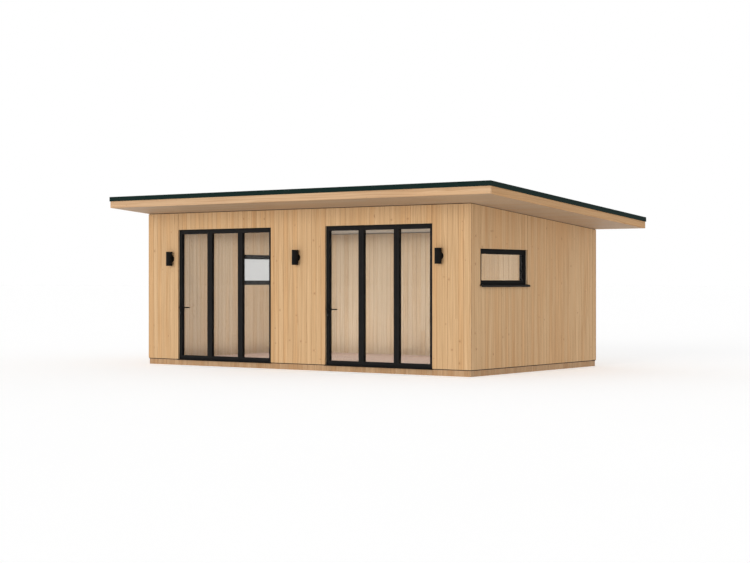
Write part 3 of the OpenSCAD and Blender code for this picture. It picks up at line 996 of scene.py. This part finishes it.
plinth_sides = []
for outward, near, far in ((-1.0, base_low.y, base_low.x), (1.0, base_high.y, base_high.x)):
    inward = -outward * PLINTH_T
    plinth_sides.append(dict(
        start=base_low.x, end=base_high.x, origin=(0.0, near + inward, 0.0), across=X_AXIS,
        outward=(0.0, outward, 0.0), phase=LEFT + FRONT_PHASE, seed=61.0 + outward))
    plinth_sides.append(dict(
        start=ring_rect[1], end=ring_rect[3], origin=(far + inward, 0.0, 0.0), across=Y_AXIS,
        outward=(outward, 0.0, 0.0), phase=FRONT + RIGHT_PHASE, seed=65.0 + outward))
lay_boards(
    "plinth_boards", plinth_sides, "base_timber", pitch=BOARD_PITCH, bottom=0.0,
    top=CLAD_Z - 3 * MM, thickness=PLINTH_T, along=UP, finish=PLINTH, v_width=2 * MM, v_depth=3 * MM,
)

vents = Solids()
vent_face, vent_back = 8 * MM, CLAD_T - 1 * MM
wall_rect = (LEFT, FRONT, RIGHT, REAR)
vents.ring(wall_rect, chamfered(vent_face, FLOOR_Z + 1 * MM, vent_back, CLAD_Z, 0.5 * MM), in_plan)
vents.ring(wall_rect, chamfered(vent_face, -VENT_GAP - 1 * MM, vent_back, -1 * MM, 0.5 * MM), on_roof)
vents.piece("vent_mesh", [RUBBER], "light_black")

lay_boards(
    "floor_boards",
    [dict(start=ring_rect[1], end=ring_rect[3], bottom=ring_rect[0], top=ring_rect[2])],
    "floor_boards", ["floor_deck"], pitch=0.142, phase=0.03, thickness=FLOOR_Z - DECK_LOW.z,
    origin=(0.0, 0.0, DECK_LOW.z), across=Y_AXIS, along=X_AXIS, outward=UP, seed=21.0,
    finish=FLOORING, piece_length=2.4, v_width=1.2 * MM, v_depth=1.2 * MM,
)

# %% [markdown]
# ## Folding doors
#
# Each door is three equal leaves in a slim outer frame. A leaf is an aluminium
# section, mitred at its corners, with a rebate that holds a sealed unit of two
# panes round a black spacer, between rubber gaskets. The leaf's section is
# drawn once, as points across and behind its face, and swept round each leaf.

# %% Sections of the frames, in from the edge and behind the face
LEAF_W = set_in("left_door_glass", "left_door_leaf_1", 0)
LEAF_D = span("left_door_leaf_1", 1)
FRAME_D = span("left_door_frame", 1)
GLASS_IN = set_in("left_door_glass", "left_door_frame", 1)
GLASS_T = span("left_door_glass", 1)
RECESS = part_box("left_door_frame")[0].y - FRONT
JAMB_W = set_in("left_door_leaf_1", "left_door_frame", 0) - 3 * MM
HEAD_SCALE = 20 * MM / JAMB_W
FOOT_SCALE = 22 * MM / JAMB_W
STOP_W = 7 * MM
PANE_T = 4 * MM
REBATE = 12 * MM
EDGE = 0.9 * MM


def sash_section(width, depth, glass_in):
    """A glazed bar: outer lip, rebate for the unit, and inner bead."""
    lip, bead = glass_in - 2 * MM, glass_in + GLASS_T + 2 * MM
    root = width - REBATE
    return [
        (0, EDGE), (EDGE, 0), (width - 2 * EDGE, 0), (width, 2 * EDGE), (width, lip),
        (root, lip), (root, bead), (width, bead), (width, depth - 2 * EDGE),
        (width - 2 * EDGE, depth), (EDGE, depth), (0, depth - EDGE),
    ]


def frame_section():
    """The outer frame: a slim jamb with a stop behind the leaves."""
    jamb, stop, behind = JAMB_W, JAMB_W + STOP_W, RECESS + LEAF_D + 1.5 * MM
    back = RECESS + FRAME_D
    return [
        (0, RECESS + EDGE), (EDGE, RECESS), (jamb - EDGE, RECESS), (jamb, RECESS + EDGE),
        (jamb, behind), (stop - EDGE, behind), (stop, behind + EDGE), (stop, back - EDGE),
        (stop - EDGE, back), (EDGE, back), (0, back - EDGE),
    ]


def glaze(seals, units, rect, width, place, front):
    """A sealed unit: gaskets and spacer in one shape, two panes in another."""
    back = front + GLASS_T
    nose = width + 1.8 * MM
    for near, far in ((front - 2 * MM, front), (back, back + 2 * MM)):
        gasket = [(width - 6 * MM, near), (width, near), (nose, near + 0.3 * (far - near)),
                  (nose, near + 0.7 * (far - near)), (width, far), (width - 6 * MM, far)]
        seals.ring(rect, gasket, place)
    spacer = chamfered(width - 9 * MM, front + PANE_T, width + 3 * MM, back - PANE_T, 0.5 * MM)
    seals.ring(rect, spacer, place, finish=1)
    u0, v0, u1, v1 = rect
    for depth in (front, back - PANE_T):
        layers = []
        for inset, d in ((0.5, 0.0), (0.0, 0.5), (0.0, 3.5), (0.5, 4.0)):
            e = width - REBATE + 2 * MM + inset * MM
            outline = ((u0 + e, v0 + e), (u1 - e, v0 + e), (u1 - e, v1 - e), (u0 + e, v1 - e))
            layers.append([place(u, v, depth + d * MM) for u, v in outline])
        units.sweep(layers)


def face_rect(node, axis=0):
    """The rectangle that a node covers, seen square on."""
    low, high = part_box(node)
    return (low[axis], low.z, high[axis], high.z)


def line_reveal(name, rect, place, foot, own):
    """Lining boards round an opening, from the cladding to the room."""
    u0, v0, u1, v1 = rect
    grown = (u0 - REVEAL_T, v0 - REVEAL_T if foot else FLOOR_Z, u1 + REVEAL_T, v1 + REVEAL_T)
    reveal = Solids()
    lined = chamfered(0, CLAD_T, REVEAL_T, ROOM_FRONT - FRONT, 1 * MM)
    reveal.ring(grown, lined, place, foot=foot, own=own)
    reveal.piece(f"{name}_reveal", [LINING], "wall_lining", timbered=True)


print("leaf section", round(LEAF_W / MM), "by", round(LEAF_D / MM), "mm")


# %% Frames, leaves, seals and panes
def folding_door(door):
    frame_rect = face_rect(f"{door}_frame")
    outer = Solids()
    outer.ring(frame_rect, frame_section(), on_front, scale=(1.0, FOOT_SCALE, HEAD_SCALE))
    outer.piece(f"{door}_outer_frame", [FRAME_COAT], "door_frame", [f"{door}_frame"])

    units, seals = Solids(), Solids()
    section = [(w, d + RECESS) for w, d in sash_section(LEAF_W, LEAF_D, GLASS_IN)]
    for number in (1, 2, 3):
        rect = face_rect(f"{door}_leaf_{number}")
        leaf = Solids()
        leaf.ring(rect, section, on_front)
        leaf.piece(f"{door}_sash_{number}", [FRAME_COAT], "door_frame", [f"{door}_leaf_{number}"])
        glaze(seals, units, rect, LEAF_W, on_front, RECESS + GLASS_IN)
        for depth in (RECESS + 14 * MM, RECESS + 44 * MM):
            flipper = chamfered(-1.4 * MM, depth, 0.4 * MM, depth + 5 * MM, 0.3 * MM)
            seals.ring(rect, flipper, on_front)
    seals.piece(f"{door}_seals", [RUBBER, SPACER], "door_frame")
    units.piece(f"{door}_panes", [PANE], "glazing", [f"{door}_glass"])
    line_reveal(door, frame_rect, on_front, False, 31.0)


for side in SIDES:
    folding_door(f"{side}_door")

# %% [markdown]
# ## Windows
#
# A window is the same kind of work, turned to a side wall: an outer frame, a
# sash set 2 mm back in it, a sealed unit, and a lined reveal inside. Its frame
# shows as one broad dark border, with a fine shadow line between the parts.

# %% Windows
WINDOW_D = span("right_window_frame", 0)
WINDOW_FACE = set_in("right_window_glass", "right_window_frame", 1)
WINDOW_GLASS_IN = set_in("left_window_glass", "left_window_frame", 0)
OUTER_BAR = 34 * MM
SHADOW_LINE = 1.6 * MM


def window(name, place):
    rect = face_rect(f"{name}_frame", axis=1)
    start = OUTER_BAR + SHADOW_LINE
    bars = Solids()
    bars.ring(rect, chamfered(0, RECESS, OUTER_BAR, RECESS + WINDOW_D, EDGE), place)
    profile = sash_section(WINDOW_FACE - start, WINDOW_D, WINDOW_GLASS_IN)
    bars.ring(rect, [(w + start, RECESS + max(d, 2 * MM)) for w, d in profile], place)
    tongue = chamfered(OUTER_BAR, RECESS + 12 * MM, start, RECESS + WINDOW_D - 6 * MM, 0.2 * MM)
    bars.ring(rect, tongue, place, finish=1)
    # the bars take the darker copy of the frame coat, which is painted shade
    bars.piece(f"{name}_bars", [SHADED_WINDOW_COAT, RUBBER], "door_frame", [f"{name}_frame"])

    seals, units = Solids(), Solids()
    glaze(seals, units, rect, WINDOW_FACE, place, RECESS + WINDOW_GLASS_IN)
    seals.piece(f"{name}_seals", [RUBBER, SPACER], "door_frame")
    units.piece(f"{name}_panes", [SIDE_PANE], "glazing", [f"{name}_glass"])
    line_reveal(name, rect, place, True, 41.0)


window("left_window", on_left)
window("right_window", on_right)

# %% [markdown]
# ## Sills
#
# Under each door and window a folded metal sill carries water clear of the
# wall. It falls outwards, its front edge turns down and ends in a small drip.

# %% Sills
SHEET = 2.5 * MM
SILL_FALL = 10 * MM


def sill_section(reach, back, rise, fall, lip):
    """Behind the face and over the sill's underside: top, nose and drip."""
    top = rise - fall
    return [
        (back, 0), (back, rise), (-reach + 2 * MM, top), (-reach, top - 2 * MM),
        (-reach, top - lip + 1 * MM), (-reach, top - lip), (-reach + SHEET, top - lip),
        (-reach + SHEET, 0),
    ]


def sill_plate(name, section, tread, axis, place):
    """A sill's nose over its full length, and its tread between the jambs."""
    low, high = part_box(f"{name}_sill")
    frame_low, frame_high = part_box(f"{name}_frame")
    sill = Solids()
    sill.straight(section, low[axis], high[axis], place)
    sill.straight(tread, frame_low[axis], frame_high[axis], place)
    sill.piece(f"{name}_sill_plate", [BLACK_COAT], "sill_black", [f"{name}_sill"])


for side, window_place in (("left", on_left), ("right", on_right)):
    low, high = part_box(f"{side}_door_sill")
    rise = CLAD_Z - FLOOR_Z
    nose = sill_section(FRONT - low.y, CLAD_T, rise, 1 * MM, CLAD_Z - low.z - 1 * MM)
    tread = chamfered(CLAD_T, 0, RECESS, rise, 0.6 * MM)
    sill_plate(f"{side}_door", nose, tread, 0, lambda d, h, t: (t, FRONT + d, FLOOR_Z + h))

    low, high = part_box(f"{side}_window_sill")
    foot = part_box(f"{side}_window_frame")[0].z
    reach = max(LEFT - low.x, high.x - RIGHT)
    rise = high.z - foot
    middle = rise - SILL_FALL * RECESS / (RECESS + reach)
    drop = rise - SILL_FALL - (low.z - foot)
    nose = sill_section(reach, 0, middle, middle - rise + SILL_FALL, drop)
    tread = [(0, 0), (0, middle), (RECESS, rise), (RECESS, 0)]
    sill_plate(f"{side}_window", nose, tread, 1, lambda d, h, t: window_place(t, foot + h, d))

# %% [markdown]
# ## Handles
#
# Each door has a lever on a long plate, outside and in, on the edge of its
# first leaf. The lever is one bent bar: out from the plate, round an elbow,
# and along the leaf, growing flatter towards its tip. The lock below it is a
# turned cylinder with a bright plug, the one light spot on the frame.

# %% Handles
handle_low, handle_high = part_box("left_door_handles")
PLATE_W = 30 * MM
PLATE_T = 8 * MM
PLATE_UP = 88 * MM
PLATE_DOWN = 132 * MM
PLATE_ROUND = 7 * MM
LEVER_R = 9.5 * MM
LEVER_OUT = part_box("left_door_leaf_1")[0].y - handle_low.y - LEVER_R
LEVER_L = handle_high.x - handle_low.x - PLATE_W / 2
LEVER_Z = handle_high.z - PLATE_UP
ELBOW = 16 * MM
KEY_DROP = 83 * MM
ROSE = ((0, -8), (11.5, -8), (11.5, 2), (10.5, 3), (0, 3))
BARREL_TURN = ((0, -8), (9, -8), (9, 2.2), (8.4, 2.8), (6.6, 2.8), (6.6, 1), (0, 1))
PLUG = ((0, 0), (6.2, 0), (6.2, 2.4), (5.6, 3), (0, 3))


def rounded_plate(inset, steps=5):
    """The plate's outline with round corners, drawn in by an inset."""
    outline = []
    wide, high, low = PLATE_W / 2 - PLATE_ROUND, PLATE_UP - PLATE_ROUND, PLATE_ROUND - PLATE_DOWN
    for quarter, (x, z) in enumerate(((wide, high), (-wide, high), (-wide, low), (wide, low))):
        for step in range(steps + 1):
            turn = math.radians(90 * (quarter + step / steps))
            r = PLATE_ROUND - inset
            outline.append((x + r * math.cos(turn), z + r * math.sin(turn)))
    return outline


def lever_sections(place, sides=16):
    """Rings of the bent bar: out of the plate, round the elbow, along."""
    bend_at = LEVER_OUT - ELBOW
    path = [(0.0, 0.0, 0.0, 1.0), (0.0, bend_at, 0.0, 1.0)]
    for step in range(1, 7):
        turn = math.radians(15 * step)
        path.append((ELBOW * (1 - math.cos(turn)), bend_at + ELBOW * math.sin(turn), turn, 1.0))
    reach = LEVER_L - LEVER_R * 0.6
    for share, flat in ((0.35, 0.92), (0.65, 0.82), (0.9, 0.76), (0.97, 0.66), (1.0, 0.36)):
        path.append((ELBOW + (reach - ELBOW) * share, LEVER_OUT, math.pi / 2, flat))
    rings = []
    for x, out, turn, flat in path:
        rings.append([])
        for step in range(sides):
            angle = 2 * math.pi * step / sides
            by = LEVER_R * flat * math.cos(angle)
            up = LEVER_R * (0.5 + 0.5 * flat) * math.sin(angle)
            rings[-1].append(place(x + by * math.cos(turn), out - by * math.sin(turn), up))
    return rings


def door_handles(door):
    leaf_low, leaf_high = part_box(f"{door}_leaf_1")
    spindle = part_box(f"{door}_handles")[0].x + PLATE_W / 2
    metal = Solids()
    for plane, facing in ((leaf_low.y, -1), (leaf_high.y, 1)):

        def place(x, out, up):
            return (spindle + x, plane + facing * out, LEVER_Z + up)

        layers = ((0.0, 0.0), (0.0, PLATE_T - 1.5 * MM), (1.5 * MM, PLATE_T))
        metal.sweep([[place(x, out, z) for x, z in rounded_plate(inset)] for inset, out in layers])
        metal.sweep(lever_sections(place))
        for profile, sides, down, finish in (
            (ROSE, 24, 0.0, 0), (BARREL_TURN, 24, KEY_DROP, 0), (PLUG, 20, KEY_DROP, 1)
        ):
            profile = [(r * MM, PLATE_T + h * MM) for r, h in profile]
            metal.turned(profile, sides, lambda a, b, h: place(a, h, b - down), finish)
        slot = chamfered(-0.9 * MM, -4 * MM, 0.9 * MM, 4 * MM, 0.3 * MM)
        metal.sweep([[place(a, out, b - KEY_DROP) for a, b in slot]
                     for out in (PLATE_T + 2.6 * MM, PLATE_T + 3.05 * MM)], finish=2)
    metal.piece(f"{door}_levers", [BLACK_COAT, STEEL, RUBBER], "handle_black", [f"{door}_handles"])


for side in SIDES:
    door_handles(f"{side}_door")

# %% [markdown]
# ## Wall lights
#
# An up-and-down light is a tube on a round wall plate. Each end is an open
# well with a reflector and an opal lens set back in it, and fine grooves mark
# where the end rings meet the tube.

# %% Wall lights
LIGHT_R = 50.5 * MM
WELL_R = LIGHT_R - 6 * MM
WELL = 30 * MM
EASE = 1.5 * MM
GROOVE_R = LIGHT_R - 0.8 * MM
DISH = ((30 * MM, 0), (WELL_R - 0.3 * MM, 0), (WELL_R - 0.3 * MM, 14 * MM), (33 * MM, 3 * MM))
LENS = ((0, 0), (31, 0), (31, 3), (22, 5.5), (11, 6.8), (0, 7.2))


def wall_light(place_name):
    low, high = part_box(f"wall_light_{place_name}")
    axis_x, axis_y, middle = (low.x + high.x) / 2, low.y + LIGHT_R, (low.z + high.z) / 2
    half = (high.z - low.z) / 2
    seat = half - WELL

    def body(a, b, h):
        return (axis_x + a, axis_y + b, middle + h)

    end = [
        (0, seat), (WELL_R, seat), (WELL_R, half - EASE), (WELL_R + EASE, half),
        (LIGHT_R - EASE, half), (LIGHT_R, half - EASE), (LIGHT_R, half - 14 * MM),
        (GROOVE_R, half - 14 * MM), (GROOVE_R, half - 15.5 * MM), (LIGHT_R, half - 15.5 * MM),
    ]
    lamp = Solids()
    lamp.turned([(r, -h) for r, h in end] + end[::-1], 48, body)
    for sign in (-1, 1):
        lamp.turned([(r, sign * (seat + h)) for r, h in DISH], 32, body, finish=1)
        lamp.turned([(r * MM, sign * (seat + h * MM)) for r, h in LENS], 32, body, finish=2)
    r = (high.x - low.x) / 2
    plate = [(0, 0), (r - 1 * MM, 0), (r, 1 * MM), (r, 11 * MM),
             (r - 1 * MM, 13 * MM), (r - 3 * MM, 14 * MM), (0, 14 * MM)]
    lamp.turned(plate, 48, lambda a, b, h: (axis_x + a, FRONT - h, middle + b))
    lamp.piece(f"up_down_light_{place_name}", [BLACK_COAT, STEEL, OPAL], "light_black",
               [f"wall_light_{place_name}"])


for place_name in ("left", "centre", "right"):
    wall_light(place_name)

# %% [markdown]
# ## Roof
#
# The roof is one sheared slab: everything on it keeps plumb edges and follows
# the same fall. Boards line its underside, brown outside and limed inside, a
# planed fascia closes its edge, and a dark trim with a small upstand holds
# the rubber membrane down.

# %% Soffit, ceiling and fascia
SOFFIT_T = 12 * MM
FASCIA_T = span("front_fascia", 1)
FASCIA_H = 104 * MM
soffit_low, soffit_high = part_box("soffit_lining")
UNDER = dict(thickness=SOFFIT_T, across=(0.0, 1.0, -FALL), along=X_AXIS, outward=(0.0, 0.0, -1.0),
             origin=(0.0, FRONT, soffit_z(FRONT) + SOFFIT_T), piece_length=4.8)
front_turn = FRONT + CLAD_T / 2
side_turn = RIGHT - CLAD_T / 2


def under_panel(x0, x1, y0, y1):
    return dict(start=y0 - FRONT, end=y1 - FRONT, bottom=x0, top=x1)


lay_boards(
    "soffit_boards",
    [under_panel(soffit_low.x, soffit_high.x, soffit_low.y, front_turn),
     under_panel(side_turn, soffit_high.x, front_turn, soffit_high.y)],
    "soffit", ["soffit_lining"], pitch=0.14, seed=51.0, finish=SOFFIT,
    v_width=0.6 * MM, v_depth=0.6 * MM, **UNDER,
)
lay_boards(
    "ceiling_boards", [under_panel(soffit_low.x, side_turn, front_turn, soffit_high.y)],
    "soffit", pitch=0.12, seed=52.0, finish=CEILING, v_width=2 * MM, v_depth=2 * MM, **UNDER,
)

fascia_low, fascia_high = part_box("front_fascia")
roof_low_y, roof_high_y = fascia_low.y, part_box("rear_fascia")[1].y
across_roof = (fascia_low.x, fascia_high.x)
down_roof = (roof_low_y + FASCIA_T, roof_high_y - FASCIA_T)
# the right fascia board takes the darker copy of the fascia finish, which is painted shade
for name, ends, place, own, tone, finish in (
    ("front", across_roof, lambda w, h, t: on_roof(t, roof_low_y + w, h), 1.7, 0.35, FASCIA),
    ("rear", across_roof, lambda w, h, t: on_roof(t, roof_high_y - w, h), 7.1, 0.5, FASCIA),
    ("left", down_roof, lambda w, h, t: on_roof(fascia_low.x + w, t, h), 12.3, 0.6, FASCIA),
    ("right", down_roof, lambda w, h, t: on_roof(fascia_high.x - w, t, h), 18.9, 0.45, SHADED_SIDE_FASCIA),
):
    board = Solids()
    section = chamfered(0, 0, FASCIA_T, FASCIA_H, 1.5 * MM)
    board.straight(section, *ends, place, own=own, tone=tone)
    board.piece(f"{name}_fascia_board", [finish], "fascia", [f"{name}_fascia"], timbered=True)

# %% Edge trim, membrane and the structure between
trim_low, trim_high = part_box("roof_edge_trim")
deck_low, deck_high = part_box("roof_membrane")
slab_low, slab_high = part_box("roof_panel")
TRIM_TOP = FASCIA_H + 70 * MM
TRIM_W = 60 * MM
TRIM_ROUND = 5 * MM
TRIM_OUT = fascia_low.x - trim_low.x
MEMBRANE_TOP = 150 * MM
MEMBRANE_FOOT = MEMBRANE_TOP - 5 * MM
LAP_FOOT = MEMBRANE_TOP - 1.3 * MM
SEAM_STEP = 1.4
SEAM_W = 75 * MM


def trim_section():
    """The trim's outline: drip, outer face, rounded top edge and upstand."""
    rounded = []
    for degrees in (90, 60, 30, 0):
        turn = math.radians(degrees)
        rounded.append((TRIM_ROUND * (1 - math.cos(turn)), TRIM_TOP - TRIM_ROUND * (1 - math.sin(turn))))
    return [
        (TRIM_OUT - 1 * MM, FASCIA_H), (TRIM_OUT - 1 * MM, FASCIA_H + 0.5 * MM),
        (TRIM_W, FASCIA_H + 0.5 * MM), (TRIM_W, TRIM_TOP - 2 * MM),
        (TRIM_W - 2 * MM, TRIM_TOP - 0.5 * MM), *rounded, (0, FASCIA_H + 3 * MM), (1.5 * MM, FASCIA_H),
    ]


def down_slope(w, h, t):
    return on_roof(w, t, h)


trim = Solids()
trim.ring((trim_low.x, trim_low.y, trim_high.x, trim_high.y), trim_section(), on_roof)
trim.piece("edge_trim", [TRIM_COAT], "edge_trim", ["roof_edge_trim"])

sheet = Solids()
flat = chamfered(deck_low.x, MEMBRANE_FOOT, deck_high.x, MEMBRANE_TOP - 1.2 * MM, 0.3 * MM)
sheet.straight(flat, deck_low.y, deck_high.y, down_slope)
for number in range(1, int((deck_high.x - deck_low.x) / SEAM_STEP) + 1):
    x = deck_low.x + number * SEAM_STEP
    lap = [(x, LAP_FOOT), (x + SEAM_W, LAP_FOOT),
           (x + SEAM_W - 0.8 * MM, MEMBRANE_TOP), (x + 0.8 * MM, MEMBRANE_TOP)]
    sheet.straight(lap, deck_low.y + 1 * MM, deck_high.y - 1 * MM, down_slope)
fillet = [(0, LAP_FOOT), (14 * MM, LAP_FOOT), (0, MEMBRANE_TOP + 10 * MM)]
sheet.ring((deck_low.x, deck_low.y, deck_high.x, deck_high.y), fillet, on_roof)
sheet.piece("membrane_sheet", [MEMBRANE], "membrane", ["roof_membrane"])

slab = Solids()
for low, high, foot, top, own in ((slab_low, slab_high, SOFFIT_T, FASCIA_H, 3.3),
                                  (deck_low, deck_high, FASCIA_H, MEMBRANE_FOOT, 4.7)):
    slab.straight(chamfered(low.x, foot, high.x, top, 1 * MM), low.y, high.y, down_slope, own=own)
slab.piece("roof_slab", [STRAND], "roof_structure", ["roof_panel"], timbered=True)

# %% [markdown]
# ## Screws and hinges
#
# Small fixings go in rows: stainless screws along the fascia and the plinth,
# and hinge barrels up the inner joints of each door. A second tree repeats
# one part between two points at an even spacing, and turns each screw by a
# random angle, as a hand-driven screw ends up.


# %% The tree that sets a row of parts
def row_tree():
    nodes, given = new_group(
        "row_of_parts", "GeometryNodeTree",
        {"Geometry": GEOMETRY, "Part": "NodeSocketObject", "From": VECTOR, "To": VECTOR,
         "Spacing": 0.6, "Facing": "NodeSocketRotation", "Spin": 0.0, "Seed": 0.0,
         "Finish": "NodeSocketMaterial"},
        {"Geometry": GEOMETRY},
    )
    steps = (nodes.vmath("DISTANCE", given["From"], given["To"]) / given["Spacing"]).do("ROUND")
    ends = {"Count": steps + 1.0, "Start Location": given["From"], "Offset": given["To"]}
    line = nodes.get("GeometryNodeMeshLine", ends, mode="END_POINTS")
    part = nodes.get("GeometryNodeObjectInfo", {"Object": given["Part"]}, "Geometry")
    feeds = {"Points": line, "Instance": part, "Rotation": given["Facing"]}
    placed = nodes.get("GeometryNodeInstanceOnPoints", feeds)
    lot = nodes.vector(nodes.get("GeometryNodeInputIndex"), given["Seed"], 0.0)
    turn = nodes.get("ShaderNodeTexWhiteNoise", {"Vector": lot}, "Value") * given["Spin"]
    feeds = {"Instances": placed, "Rotation": nodes.vector(0.0, 0.0, turn), "Local Space": True}
    return end_tree(nodes, nodes.get("GeometryNodeRotateInstances", feeds), given)


ROW = row_tree()


def set_rows(name, rows, slot, **shared):
    piece = grow(name, ROW, rows, shared)
    print(name, "-", len(rows), "rows,", len(piece.data.polygons), "faces")
    return finish_piece(piece, slot, smooth=True)


# %% The screw and the hinge that the rows repeat
KNUCKLE, KNUCKLE_R, KNUCKLE_GAP = 15, 6.5, 0.6


def loose_part(name, profile, sides):
    """A turned part about its own Z, that the rows copy; it goes at the end."""
    shape = Solids()
    shape.turned([(r * MM, h * MM) for r, h in profile], sides, in_plan)
    return shape.loose(name)


SCREW = loose_part("screw_head", [(0, -2), (3.4, -2), (3.6, 0.3), (3.0, 0.9), (1.5, 1.1),
                                  (1.3, 0.0), (0, 0.0)], 10)
hinge_end = 2.5 * KNUCKLE
hinge = [(0, -hinge_end - 3), (3, -hinge_end - 2.5)]
for number in range(5):
    z = number * KNUCKLE - hinge_end
    hinge += [(4.5, z), (KNUCKLE_R, z + KNUCKLE_GAP), (KNUCKLE_R, z + KNUCKLE - KNUCKLE_GAP),
              (4.5, z + KNUCKLE)]
BARREL = loose_part("hinge_barrel", hinge + [(3, hinge_end + 2.5), (0, hinge_end + 3)], 12)
print("screw", len(SCREW.data.polygons), "faces, hinge", len(BARREL.data.polygons), "faces")

# %% Rows of screws and hinges
QUARTER = math.radians(90)
INSET = 60 * MM
WAYS = {"front": (QUARTER, 0.0, 0.0), "rear": (-QUARTER, 0.0, 0.0),
        "right": (0.0, QUARTER, 0.0), "left": (0.0, -QUARTER, 0.0)}


def rows_round(name, rect, heights, place, spacing):
    """Rows of screws along all four faces of a box, at each height."""
    x0, y0, x1, y1 = rect
    rows = []
    for h in heights:
        for x, way in ((x0, "left"), (x1, "right")):
            rows.append({"from": place(x, y0 + INSET, h), "to": place(x, y1 - INSET, h),
                         "facing": WAYS[way]})
        for y, way in ((y0, "front"), (y1, "rear")):
            rows.append({"from": place(x0 + INSET, y, h), "to": place(x1 - INSET, y, h),
                         "facing": WAYS[way]})
    set_rows(name, rows, "handle_black", spacing=spacing, part=SCREW, finish=STEEL, spin=6.28, seed=3.0)


rows_round("fascia_screws", (fascia_low.x, roof_low_y, fascia_high.x, roof_high_y),
           (0.25 * FASCIA_H, 0.75 * FASCIA_H), on_roof, 0.6)
rows_round("plinth_screws", (base_low.x, base_low.y, base_high.x, base_high.y),
           (0.25 * FLOOR_Z, 0.7 * FLOOR_Z), in_plan, 0.62)

for side in SIDES:
    rows = []
    for number in (1, 2):
        low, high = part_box(f"{side}_door_leaf_{number}")
        x, y = high.x + 1.5 * MM, high.y + 6 * MM
        rows.append({"from": (x, y, low.z + 0.2), "to": (x, y, high.z - 0.2)})
    set_rows(f"{side}_door_hinges", rows, "door_frame", part=BARREL, finish=BLACK_COAT,
             spacing=0.82, seed=5.0)

# %% Finish
for part in (SECTION, SCREW, BARREL):
    bpy.data.objects.remove(part)
